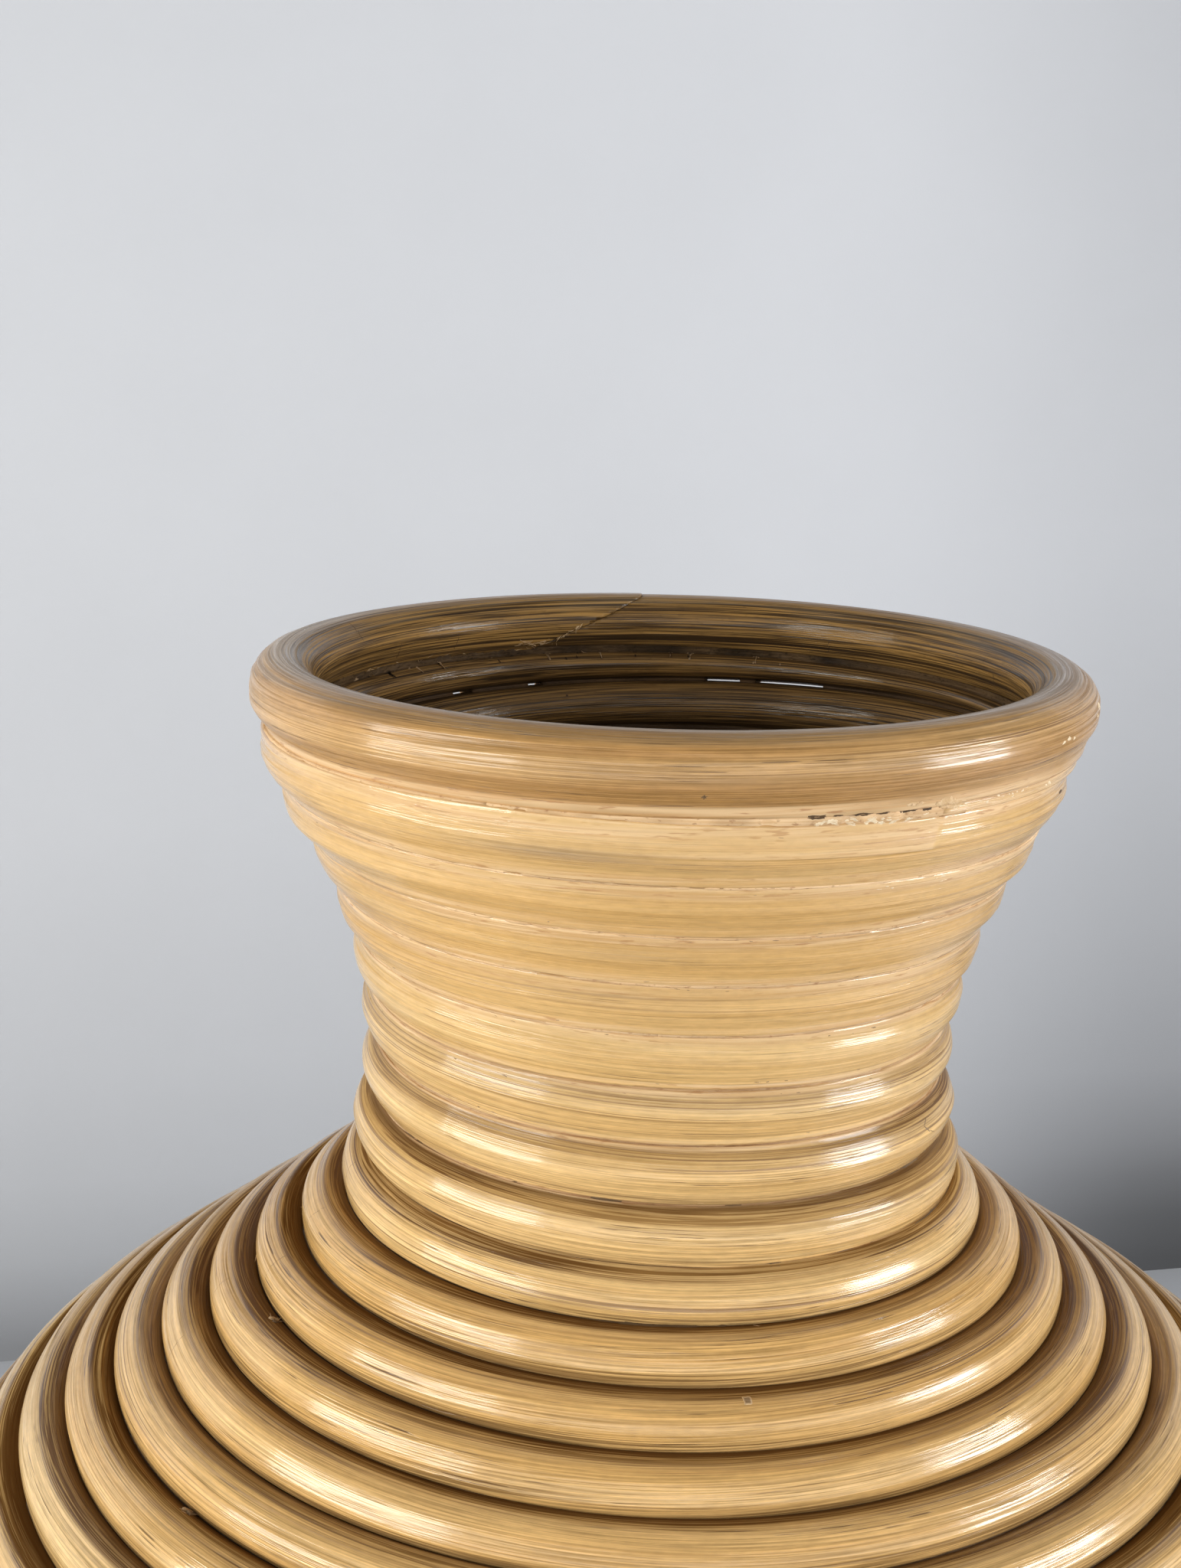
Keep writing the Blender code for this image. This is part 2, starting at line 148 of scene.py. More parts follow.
def coil_rz(t):
    """Centre (radius, height) and half height of the pole at turn counts t."""
    t = np.atleast_1d(np.asarray(t, float))
    c = wall(arc_at(t))
    r = np.full(len(t), POLE_R)
    top, low = t < FIRST_TOUCH, t > T_LAST
    for mask, upper, ru, lower, rl, gone, step in (
            (top, np.broadcast_to(RIM_C, (top.sum(), 2)), RIM_R, wall(arc_at(t[top] + 1)), POLE_R,
             FIRST_TOUCH - t[top], FIRST_STEP),
            (low, wall(arc_at(t[low] - 1)), POLE_R, np.broadcast_to(FOOT_C, (low.sum(), 2)), FOOT_R,
             t[low] - T_LAST, LAST_STEP)):
        if mask.any():
            mid, free = between(upper, ru, lower, rl)
            u = np.clip(1 - gone / EASE_TURNS, 0, 1)
            c[mask] = mid + step * (u * u * (3 - 2 * u))[:, None]
            r[mask] = np.maximum(free / 2 - 0.0001, 0.0004)
    return c, r


def coil_wide(half):
    """Half width of a pole that is this much high on each side."""
    return np.maximum(half, np.minimum(POLE_R, SHAVED_WIDTH * half))


def wall_normal(t):
    """Outward normal of the wall as (radius, height)."""
    t = np.atleast_1d(np.asarray(t, float))
    s = np.clip(arc_at(t), 0.004, _arc[-1] - 0.004)
    d = wall(s + 0.003) - wall(s - 0.003)
    for far, fall in ((FIRST_TOUCH - t, wall(arc_at(t + 1)) - RIM_C), (t - T_LAST, FOOT_C - wall(arc_at(t - 1)))):
        k = smooth(far, 0.0, 0.08)[:, None]
        d = d / np.linalg.norm(d, axis=-1)[:, None] * (1 - k) + fall / np.linalg.norm(fall, axis=-1)[:, None] * k
    n = np.stack([-d[..., 1], d[..., 0]], -1)
    return n / np.linalg.norm(n, axis=-1)[..., None]


def ring_normal(t):
    return np.stack([np.ones(len(t)), np.zeros(len(t))], -1)


def drift(z):
    """Sideways wander of a hand-wound coil, about a millimetre."""
    d = RIM_Z - np.asarray(z, float)
    return np.interp(d, [0.0, 0.002, 0.020, 0.049, 0.126, 0.175, 0.210, 0.28, 0.55],
                     [0.00146, 0.00146, -0.0004, 0.0007, 0.0001, -0.0002, -0.0014, -0.0014, 0.0])


def place(rz, phi):
    """World points from (radius, height) and angle, with the wander."""
    rz = np.asarray(rz, float)
    x = rz[..., 0] * np.cos(phi) + drift(rz[..., 1])
    y = rz[..., 0] * np.sin(phi)
    return np.stack([x, y, rz[..., 1]], -1)


def length_between(t0, t1):
    if t1 <= t0:
        return 0.0
    t = np.linspace(t0, t1, max(2, int((t1 - t0) * 48)))
    c, _ = coil_rz(t)
    a = angle_of(t)
    p = np.stack([c[:, 0] * np.cos(a), c[:, 0] * np.sin(a), c[:, 1]], -1)
    return float(np.linalg.norm(np.diff(p, axis=0), axis=1).sum())


def scarf_turns():
    marks, t = [], T_START
    while length_between(t, T_STOP) > 1.5 * POLE_LENGTH:
        mark = math.floor(t) + 0.5 + STAGGER * (len(marks) % 3 - 1)
        while length_between(t, mark) < POLE_LENGTH:
            mark += 1.0
        t = mark
        marks.append(t)
    return marks


SCARFS = scarf_turns()
ENDS = [T_START] + SCARFS + [T_STOP]


# ------------------------------------------------------------- number tools
def smooth(x, lo, hi):
    u = np.clip((np.asarray(x, float) - lo) / (hi - lo), 0, 1)
    return u * u * (3 - 2 * u)


def lattice(q, seed):
    """Smooth random values between -1 and 1 at real positions q."""
    q = np.asarray(q, float)
    k = np.floor(q).astype(np.int64)
    f = q - k
    f = f * f * (3 - 2 * f)

    def h(n):
        n = (n * 374761393 + seed * 668265263) & 0x7FFFFFFF
        n = ((n ^ (n >> 13)) * 1274126177) & 0x7FFFFFFF
        return ((n ^ (n >> 16)) & 0xFFFFF) / 524287.5 - 1.0

    return h(k) * (1 - f) + h(k + 1) * f


def flutes(s, nv, period, seed, blur=0, twist=0.0):
    """Lengthwise ridges: random from column to column, changing slowly along
    the length and turning slowly round the pole; shape (len(s), nv)."""
    rng = np.random.default_rng(seed)
    n = int((np.max(s) - np.min(s)) / period) + 4
    grid = rng.uniform(-1, 1, (n, nv))
    for _ in range(blur):
        grid = (np.roll(grid, 1, 1) + 2 * grid + np.roll(grid, -1, 1)) / 4 * 1.25
    offset = rng.uniform(0, 1, nv)
    shift = (s - s[0]) * twist / TAU * nv
    col = np.arange(nv)[None, :] - shift[:, None]
    c0 = np.floor(col).astype(int)
    fc = col - c0

    def column(c):
        c = c % nv
        q = (s[:, None] - s[0]) / period + offset[c]
        k = np.floor(q).astype(int)
        f = q - k
        f = f * f * (3 - 2 * f)
        return grid[k % n, c] * (1 - f) + grid[(k + 1) % n, c] * f

    return column(c0) * (1 - fc) + column(c0 + 1) * fc


def add_mesh(name, verts, faces, smooth_shade=True):
    mesh = bpy.data.meshes.new(name)
    mesh.vertices.add(len(verts))
    mesh.vertices.foreach_set("co", np.asarray(verts, np.float32).ravel())
    loops = np.concatenate([np.asarray(f, np.int32).ravel() for f in faces])
    sizes = np.concatenate([np.full(len(f), f.shape[1], np.int32) for f in faces])
    mesh.loops.add(len(loops))
    mesh.loops.foreach_set("vertex_index", loops)
    mesh.polygons.add(len(sizes))
    starts = np.concatenate([[0], np.cumsum(sizes)[:-1]]).astype(np.int32)
    mesh.polygons.foreach_set("loop_start", starts)
    mesh.update(calc_edges=True)
    if smooth_shade:
        mesh.shade_smooth()
    obj = bpy.data.objects.new(name, mesh)
    scene.collection.objects.link(obj)
    return obj


def put_vector(obj, name, values):
    a = obj.data.attributes.new(name, "FLOAT_VECTOR", "POINT")
    a.data.foreach_set("vector", np.ascontiguousarray(values, np.float32).ravel())


def put_float(obj, name, values):
    a = obj.data.attributes.new(name, "FLOAT", "POINT")
    a.data.foreach_set("value", np.ascontiguousarray(values, np.float32).ravel())


def tube_faces(nu, nv, closed_u=False):
    """Quads of a tube whose columns turn from out to up while the rows go
    counter-clockwise round the vase."""
    i = np.arange(nu if closed_u else nu - 1)
    j = np.arange(nv)
    i2 = (i + 1) % nu
    j2 = (j + 1) % nv
    a = (i[:, None] * nv + j[None, :]).ravel()
    b = (i[:, None] * nv + j2[None, :]).ravel()
    c = (i2[:, None] * nv + j2[None, :]).ravel()
    d = (i2[:, None] * nv + j[None, :]).ravel()
    return np.stack([a, d, c, b], -1)


def end_caps(nu, nv):
    first = np.arange(nv)[None, :]
    last = (np.arange(nv) + (nu - 1) * nv)[None, ::-1]
    return [first, last]


def pole_frame(t, rz, normal):
    """Path points and the out and up directions of a pole."""
    phi = angle_of(t)
    p = place(rz, phi)
    along = np.gradient(p, axis=0)
    along /= np.linalg.norm(along, axis=1)[:, None]
    out = np.stack([normal[:, 0] * np.cos(phi), normal[:, 0] * np.sin(phi), normal[:, 1]], -1)
    out -= along * (out * along).sum(1)[:, None]
    out /= np.linalg.norm(out, axis=1)[:, None]
    up = np.cross(out, along)
    return p, along, out, up


# ------------------------------------------------ marks seen on the surface
NODE_TURNS = (7.76, 8.775, 9.783, 10.796, 11.805, 12.90, 14.33, 16.20)
SMUDGES = (            # turn, direction round the pole, half length, half width, strength
    (0.965, 0.10, 0.026, 0.0032, 0.55),
    (1.03, -0.30, 0.060, 0.0022, 0.25),
    (2.985, 0.25, 0.020, 0.0030, 0.30),
    (3.98, 0.30, 0.030, 0.0035, 0.22),
    (10.02, 0.45, 0.040, 0.0014, 0.25),
)
PLANED = ((5.900, 0.00024), (6.893, 0.00020))   # planed patches that start with a rounded edge
SLITS = ((0.611, 0.006, 0.00018), (0.569, 0.004, 0.00020), (0.471, 0.009, 0.00022),
         (0.436, 0.018, 0.00026))   # daylight under the first turn

NV = 68
STEP = 0.0027
_fine = np.linspace(0, TAU, 4001)
_dense = (1.0 + 0.55 * np.clip(np.cos(_fine), 0, 1)
          + 0.9 * np.exp(-((np.abs(((_fine + math.pi) % TAU) - math.pi) - 0.92) / 0.22) ** 2))
_sum = np.concatenate([[0], np.cumsum((_dense[1:] + _dense[:-1]) / 2)])
V = np.interp(np.arange(NV) / NV * _sum[-1], _sum, _fine)


def samples_for(t0, t1, step):
    """Turn counts from t0 to t1 about a fixed distance apart."""
    t = np.linspace(t0, t1, max(8, int((t1 - t0) * 64)))
    c, _ = coil_rz(t)
    a = angle_of(t)
    p = np.stack([c[:, 0] * np.cos(a), c[:, 0] * np.sin(a), c[:, 1]], -1)
    s = np.concatenate([[0], np.cumsum(np.linalg.norm(np.diff(p, axis=0), axis=1))])
    n = max(4, int(s[-1] / step))
    return np.interp(np.linspace(0, s[-1], n), s, t)


# ------------------------------------------------------ how the seams look
def front_share(t):
    """1 at the front of the vase, 0 at the back."""
    return 0.5 + 0.5 * np.cos(angle_of(t) + math.pi / 2)


def seam_level(g):
    """How far out of the wall's middle the seam above turn g is filled and
    sanded: nearly flush at the front of the neck, open on the shoulder."""
    g = np.asarray(g, float)
    f = smooth(front_share(g), 0.62, 0.97)
    knots = [0, 1.5, 3.5, 4.5, 5.5, 6.5, 7.5, 8.5, 9.5, 40]
    front = np.interp(g, knots, [8.1, 7.9, 7.6, 7.3, 6.9, 6.2, 5.1, 3.9, 2.9, 2.5])
    side = np.interp(g, knots, [6.8, 6.7, 6.4, 6.1, 5.6, 5.0, 4.2, 3.4, 2.8, 2.5])
    side = side + 0.45 * np.cos(angle_of(g)) * smooth(g, 7.0, 4.5)
    level = side + (front - side) * f
    level = level + (0.22 * lattice(g * 9.0, 5) + 0.10 * lattice(g * 41.0, 6)) * smooth(g, 9.5, 7.0)
    return level * 0.001


def rim_level(g):
    """The same under the rim ring."""
    g = np.asarray(g, float)
    level = np.interp(g, [-0.1, 0.0, 0.10, 0.22, 0.33, 0.45, 0.60, 0.75, 0.87, 1.0, 1.12],
                      [8.6, 9.0, 9.2, 9.2, 8.6, 6.9, 6.5, 7.3, 8.2, 9.0, 9.2])
    return (level + 0.15 * lattice(g * 13.0, 15)) * 0.001


def seam_gap(g):
    """Open width left at the surface of a seam."""
    g = np.asarray(g, float)
    tight = smooth(g, 6.8, 4.8) * (0.4 + 0.6 * smooth(front_share(g), 0.5, 0.9))
    return 0.00030 - 0.00021 * tight


def seam_notch(g):
    """How far the wood falls away right at the seam."""
    g = np.asarray(g, float)
    f = smooth(front_share(g), 0.55, 0.95)
    return (0.00042 - 0.00026 * f) * smooth(g, 9.5, 8.0) * (1 + 0.4 * lattice(g * 23.0, 8))


def stain_and_shade_at(t):
    """How much brown stain and painted shade go in the groove above turn t."""
    t = np.asarray(t, float)
    base = np.interp(t, [0, 2, 4, 5.5, 7, 8.2, 9.5, 40], [0.10, 0.16, 0.30, 0.48, 0.75, 1.0, 1.0, 1.0])
    side = 1.0 - 0.45 * smooth(front_share(t), 0.6, 0.95) * smooth(t, 8.0, 5.0)
    return base * side * (1 + 0.18 * lattice(t * 5.0, 77))


def sanded_at(t):
    """1 where the outside was sanded smooth before lacquering."""
    t = np.asarray(t, float)
    return np.interp(t, [0, 3, 5, 7.5, 9, 40], [1, 0.95, 0.60, 0.15, 0.0, 0.0]) * (
        0.28 + 0.72 * smooth(front_share(t), 0.5, 0.92))


def toward(centre, half, other_c, other_half, normal, gap, level, notch, cut=0.0):
    """Data for the side of a pole that faces a neighbour."""
    span = other_c - centre
    dist = np.hypot(span[:, 0], span[:, 1])
    d = span / dist[:, None]
    along_out = (d * normal).sum(1)
    along_up = d[:, 1] * normal[:, 0] - d[:, 0] * normal[:, 1]
    free = dist - half - other_half
    plane = half + np.minimum(np.maximum(free - gap, 0) / 2, 0.00028) - cut
    return np.stack([along_out, along_up], -1), plane, level, notch


def fill_side(a, b, side, blend=0.0013):
    """Swell a section out to a filled seam and stop it at the seam's plane."""
    d, plane, level, notch = side
    r = np.hypot(a, b)
    c, s = a / r, b / r
    dd = c * d[:, :1] + s * d[:, 1:]
    e = np.stack([d[:, 1], -d[:, 0]], -1)
    e *= np.where(e[:, :1] < 0, -1.0, 1.0)
    de = c * e[:, :1] + s * e[:, 1:]
    lv, pl, no = (np.asarray(x, float)[:, None] for x in (level, plane, notch))
    on = (dd > -0.12) & (de > 0.08)
    rf = np.where(on, lv / np.maximum(de, 0.08), 0.0)
    h = np.clip(0.5 + 0.5 * (rf - r) / blend, 0, 1)
    grown = np.where(on, r + (rf - r) * h + blend * h * (1 - h), r)
    grown = np.where(dd > 0.05, np.minimum(grown, pl / np.maximum(dd, 0.05)), grown)
    near = np.where(on & (dd > 0), np.exp(-(np.maximum(pl - grown * dd, 0) / 0.0006) ** 2), 0.0)
    active = smooth(lv, 0.0036, 0.0050)
    putty = np.clip((grown - r) / 0.0011, 0, 1) * on
    grown = grown - no * near * active
    return c * grown, s * grown, putty, near * active


def surface(s, rad, v, seed, flat, twist, nodes):
    """Radius of the pole's surface at every row and column."""
    nv = len(v)
    cv, sv = np.cos(v), np.sin(v)
    side = np.abs(sv)[None, :] ** 6
    r = np.ones((len(s), nv)) * rad[:, None]
    scale = np.clip(rad / POLE_R, 0.15, 1.2)[:, None]
    r = r * (1 + 0.010 * lattice(s / 0.13, seed)[:, None] * (1 - side))
    fl = flat if np.ndim(flat) else np.full(len(s), flat)
    fl = fl * (1 + 0.30 * lattice(s / 0.19, seed + 11))
    face = np.clip(cv, 0, 1)[None, :]
    r = r * (1 - fl[:, None] * face ** 3)
    r += scale * 0.00015 * flutes(s, nv, 0.17, seed + 1, blur=9, twist=twist) * (1 - side)
    r += scale * 0.00006 * flutes(s, nv, 0.070, seed + 2, blur=1, twist=twist) * (1 - 0.6 * side)
    r += scale * 0.000035 * flutes(s, nv, 0.020, seed + 3, twist=twist) * (1 - 0.5 * side)
    near = np.full((len(s), nv), 9.0)
    rng = np.random.default_rng(seed + 4)
    for q, size in nodes:
        w = rng.uniform(-1, 1, 8)
        wob = 0.0012 * np.interp(v, np.linspace(0, TAU, 9), np.append(w, w[0]))
        d = s[:, None] - q - wob[None, :]
        r += scale * size * (0.00024 * np.exp(-(d / 0.006) ** 2)
                             - 0.00012 * np.exp(-(d / 0.0022) ** 2)) * (1 - side)
        if size > 0.7:
            near = np.where(np.abs(d) < np.abs(near), d, near)
    return r, near


def sweep(name, t, rz, half, wide, normal, seed, flat=0.05, twist=0.0, nodes=(), shave=None,
          marks=None, mat=None, stretch=None, sides=(), wear_and_shade=None):
    p, along, out, up = pole_frame(t, rz, normal)
    s = np.concatenate([[0], np.cumsum(np.linalg.norm(np.diff(p, axis=0), axis=1))])
    cv, sv = np.cos(V), np.sin(V)
    r, near = surface(s, half, V, seed, flat, twist, nodes)
    if shave is not None:
        r = shave(t, s, V, r)
    a, b = r * cv[None, :] * (wide / half)[:, None], r * sv[None, :]
    putty, seamed = np.zeros(r.shape), np.zeros(r.shape)
    for side in sides:
        a, b, more, beside = fill_side(a, b, side)
        putty, seamed = np.maximum(putty, more), np.maximum(seamed, beside)
    if stretch is not None:
        a, b = stretch(t, a, b)
    pos = p[:, None, :] + a[:, :, None] * out[:, None, :] + b[:, :, None] * up[:, None, :]
    obj = add_mesh(name, pos.reshape(-1, 3), [tube_faces(len(t), NV)] + end_caps(len(t), NV))
    turn = V[None, :] - (s * twist)[:, None]
    size = np.maximum(half, 0.006)
    coords = np.zeros((len(t), NV, 3))
    coords[..., 0] = s[:, None] + seed * 3.17
    coords[..., 1] = size[:, None] * np.cos(turn)
    coords[..., 2] = size[:, None] * np.sin(turn)
    put_vector(obj, "rat", coords.reshape(-1, 3))
    face = np.stack([np.broadcast_to(cv, r.shape), np.broadcast_to(sv, r.shape),
                     np.clip(near, -0.5, 0.5)], -1)
    put_vector(obj, "side", face.reshape(-1, 3))
    stain_and_shade, sanded = wear_and_shade if wear_and_shade is not None else (np.zeros(len(t)), np.zeros(len(t)))
    put_vector(obj, "wear_and_shade", np.stack([np.broadcast_to(stain_and_shade[:, None], r.shape),
                                      np.broadcast_to(sanded[:, None], r.shape), putty], -1).reshape(-1, 3))
    mark = np.zeros(r.shape)
    if marks is not None:
        mark = marks(t, s, V, half)
    put_float(obj, "mark", mark.ravel())
    put_float(obj, "seamed", seamed.ravel())
    if mat is not None:
        obj.data.materials.append(mat)
    return obj


def cut_rows(obj, first, last, centre, normal):
    """Cut the rows first..last of a swept pole along a plane and close it;
    what lies on the normal's side goes away."""
    bm = bmesh.new()
    bm.from_mesh(obj.data)
    bm.verts.ensure_lookup_table()
    verts = [bm.verts[i] for i in range(first * NV, min((last + 1) * NV, len(bm.verts)))]
    chosen = set(verts)
    faces = [f for f in bm.faces if all(w in chosen for w in f.verts)]
    edges = [e for e in bm.edges if all(w in chosen for w in e.verts)]
    bmesh.ops.bisect_plane(bm, geom=verts + edges + faces, dist=1e-7,
                           plane_co=Vector(centre), plane_no=Vector(normal), clear_outer=True)
    rim = [e for e in bm.edges if e.is_boundary]
    made = bmesh.ops.holes_fill(bm, edges=rim, sides=0)
    for f in made["faces"]:
        f.smooth = False
    bm.to_mesh(obj.data)
    bm.free()


# -------------------------------------------------------------- materials
def tree_of(name):
    mat = bpy.data.materials.new(name)
    mat.use_nodes = True
    nt = mat.node_tree
    return mat, nt, nt.nodes["Principled BSDF"]


class Net:
    """Small helper that keeps node set-ups short."""

    def __init__(self, nt):
        self.nt = nt

    def put(self, sock, x):
        if isinstance(x, bpy.types.NodeSocket):
            self.nt.links.new(x, sock)
        elif isinstance(x, (tuple, list)) and sock.type == "RGBA":
            sock.default_value = (*x, 1.0)
        else:
            sock.default_value = x

    def node(self, kind, **inputs):
        n = self.nt.nodes.new(kind)
        for key, value in inputs.items():
            self.put(n.inputs[key], value)
        return n

    def attr(self, name):
        n = self.nt.nodes.new("ShaderNodeAttribute")
        n.attribute_name = name
        return n

    def scaled(self, vec, sx, sy, sz, off=(0, 0, 0)):
        n = self.nt.nodes.new("ShaderNodeVectorMath")
        n.operation = "MULTIPLY_ADD"
        self.nt.links.new(vec, n.inputs[0])
        n.inputs[1].default_value = (sx, sy, sz)
        n.inputs[2].default_value = off
        return n.outputs[0]

    def noise(self, vec, detail=2.0, rough=0.5, scale=1.0):
        n = self.nt.nodes.new("ShaderNodeTexNoise")
        n.inputs["Scale"].default_value = scale
        n.inputs["Detail"].default_value = detail
        n.inputs["Roughness"].default_value = rough
        self.nt.links.new(vec, n.inputs["Vector"])
        return n.outputs["Fac"]

    def math(self, op, a, b=None, c=None, clamp=False):
        n = self.nt.nodes.new("ShaderNodeMath")
        n.operation = op
        n.use_clamp = clamp
        for i, x in enumerate((a, b, c)):
            if x is not None:
                self.put(n.inputs[i], x)
        return n.outputs[0]

    def mul(self, a, b, clamp=False):
        return self.math("MULTIPLY", a, b, clamp=clamp)

    def mad(self, a, b, c, clamp=False):
        return self.math("MULTIPLY_ADD", a, b, c, clamp=clamp)

    def ramp(self, x, lo, hi, to_lo=0.0, to_hi=1.0, kind="SMOOTHSTEP"):
        n = self.nt.nodes.new("ShaderNodeMapRange")
        n.interpolation_type = kind
        self.nt.links.new(x, n.inputs["Value"])
        n.inputs["From Min"].default_value = lo
        n.inputs["From Max"].default_value = hi
        n.inputs["To Min"].default_value = to_lo
        n.inputs["To Max"].default_value = to_hi
        return n.outputs["Result"]

    def mix(self, fac, a, b, blend="MIX"):
        n = self.nt.nodes.new("ShaderNodeMix")
        n.data_type = "RGBA"
        n.blend_type = blend
        self.put(n.inputs[0], fac)
        self.put(n.inputs[6], a)
        self.put(n.inputs[7], b)
        return n.outputs[2]

    def split(self, vec):
        n = self.nt.nodes.new("ShaderNodeSeparateXYZ")
        self.nt.links.new(vec, n.inputs[0])
        return n.outputs

    def grey(self, x):
        """A colour of equal parts from a number."""
        n = self.nt.nodes.new("ShaderNodeCombineColor")
        for i in range(3):
            self.nt.links.new(x, n.inputs[i])
        return n.outputs[0]


def tint(c, *k):
    return tuple(min(1.0, x * (k[i] if len(k) > 1 else k[0])) for i, x in enumerate(c))


# the groove colour given as the stain is brown stain and painted shade in one; the inside colour is kept dark partly as
# painted shade
def rattan(name, light, deep, inside=(0.225, 0.130, 0.046), stain_and_shade=(0.232, 0.122, 0.040),
           streak=1.0, dash=1.0, rough=0.40, dust_and_sheen=0.0, coat=0.85, bands=1.0, top_free=False):
    mat, nt, shader = tree_of(name)
    g = Net(nt)
    rat = g.attr("rat").outputs["Vector"]
    side = g.split(g.attr("side").outputs["Vector"])
    out, up, near = side[0], side[1], side[2]
    wear_and_shade = g.split(g.attr("wear_and_shade").outputs["Vector"])
    stain_and_shade_amount, sanded, putty = wear_and_shade[0], wear_and_shade[1], wear_and_shade[2]
    mark = g.attr("mark").outputs["Fac"]
    seamed = g.attr("seamed").outputs["Fac"]

    tone = g.noise(g.scaled(rat, 5.0, 110, 110), detail=2.0)
    band = g.noise(g.scaled(rat, 6.0, 480, 480, (7, 3, 1)), detail=2.0, rough=0.6)
    grain = g.noise(g.scaled(rat, 12.0, 1250, 1250, (2, 6, 9)), detail=2.5, rough=0.65)
    fine = g.noise(g.scaled(rat, 24.0, 2000, 2000, (1, 9, 4)), detail=1.5, rough=0.6)
    mottle = g.noise(g.scaled(rat, 190.0, 620, 620, (4, 1, 3)), detail=2.0, rough=0.6)
    lines = g.noise(g.scaled(rat, 3.6, 1150, 1150, (5, 2, 8)), detail=1.0)
    dashes = g.noise(g.scaled(rat, 46.0, 2000, 2000, (3, 3, 5)), detail=1.0)
    spots = g.noise(g.scaled(rat, 15.0, 260, 260, (2, 8, 5)), detail=2.0)
    cloud = g.noise(g.scaled(rat, 2.1, 60, 60, (9, 1, 6)), detail=1.0)

    calm = g.mad(sanded, -0.72, 1.0)
    raw = g.mad(sanded, -1.0, 1.0)

    col = g.mix(g.ramp(tone, 0.36, 0.66), deep, light)
    # broad pale and tan bands of fibre
    brown = g.mul(g.ramp(band, 0.50, 0.70), g.mul(calm, 0.26 * bands))
    col = g.mix(brown, col, tint(deep, 0.82, 0.70, 0.54))
    col = g.mix(g.mul(g.ramp(band, 0.46, 0.30), g.mul(calm, 0.28 * bands)), col, tint(light, 1.05, 1.08, 1.12))
    # fibres, then single finer ones
    amount = g.mul(calm, streak)
    k = g.mad(g.mul(g.ramp(mottle, 0.28, 0.72, -0.09, 0.08, "LINEAR"), streak), 1.0, 1.0)
    col = g.mix(1.0, col, g.grey(k), "MULTIPLY")
    k = g.mad(g.mul(g.ramp(grain, 0.30, 0.70, -0.15, 0.11, "LINEAR"), amount), 1.0, 1.0)
    col = g.mix(1.0, col, g.grey(k), "MULTIPLY")
    k = g.mad(g.mul(g.ramp(fine, 0.32, 0.68, -0.34, 0.25, "LINEAR"), amount), 1.0, 1.0)
    col = g.mix(1.0, col, g.grey(k), "MULTIPLY")
    # long thin brown lines in loose groups, more of them towards the upper side
    group = g.ramp(g.mad(up, 0.09, cloud), 0.44, 0.62)
    thin = g.mul(g.ramp(lines, 0.600, 0.655), g.mul(group, g.mad(calm, 0.95, 0.02)))
    col = g.mix(g.mul(thin, 0.85 * dash, clamp=True), col, (0.25, 0.135, 0.052))
    # short dark dashes in loose groups
    d = g.mul(g.ramp(dashes, 0.645, 0.695), g.ramp(spots, 0.50, 0.62))
    col = g.mix(g.mul(d, g.mul(calm, 0.8 * dash), clamp=True), col, (0.14, 0.075, 0.032))
    # brown stain in the grooves together with painted shade: the upward side of each pole, the crease above it and the
    # side next to the crease below are darkened
    ragged = g.mad(g.math("SUBTRACT", band, 0.5), 0.85, g.mad(g.math("SUBTRACT", grain, 0.5), 1.15, up))
    ragged = g.mad(g.math("SUBTRACT", fine, 0.5), 0.55, ragged)
    comb = g.ramp(g.mad(g.math("SUBTRACT", fine, 0.5), 0.9, grain), 0.44, 0.58, 0.42, 1.0)
    blotch = g.ramp(g.mad(g.math("SUBTRACT", cloud, 0.5), 0.9, g.mad(up, 0.35, spots)), 0.62, 0.80)
    top = g.mul(g.ramp(ragged, 0.10, 0.70), g.mul(g.mul(stain_and_shade_amount, 0.98), g.mad(blotch, 0.25, comb)), clamp=True)
    col = g.mix(top, col, g.mix(blotch, tint(stain_and_shade, 1.02, 1.06, 1.06), tint(stain_and_shade, 0.62, 0.57, 0.52)))
    # painted shade right at the crease above, mixed with the stain
    crease_stain_and_shade = g.mul(g.ramp(up, 0.76, 0.97), g.mul(stain_and_shade_amount, 0.85))
    col = g.mix(crease_stain_and_shade, col, tint(stain_and_shade, 0.55, 0.52, 0.50))
    # painted shade beside the crease below, mixed with the stain
    low = g.mul(g.ramp(g.math("MULTIPLY", ragged, -1.0), 0.78, 1.05), g.mad(stain_and_shade_amount, 0.55, 0.06))
    col = g.mix(low, col, tint(stain_and_shade, 0.70, 0.66, 0.62))
    # growth node: a paler band with a faint broken line beside it
    broken = g.ramp(g.noise(g.scaled(rat, 30, 520, 520, (4, 4, 2)), detail=1.0), 0.50, 0.64)
    score = g.mul(g.ramp(g.math("ABSOLUTE", near), 0.00055, 0.00015), broken)
    pale = g.mul(g.ramp(g.math("ABSOLUTE", g.math("SUBTRACT", near, 0.003)), 0.0040, 0.0005), 0.30)
    col = g.mix(pale, col, tint(light, 1.10))
    col = g.mix(g.mul(score, 0.60), col, (0.24, 0.13, 0.055))
    # brown, ragged edge right beside a seam
    edge = g.mad(g.math("SUBTRACT", fine, 0.5), 1.1, g.mad(g.math("SUBTRACT", mottle, 0.5), 1.3, seamed))
    col = g.mix(g.mul(g.ramp(edge, 0.38, 0.85), g.mad(sanded, -0.15, 0.78)), col, tint(stain_and_shade, 1.30, 1.25, 1.20))
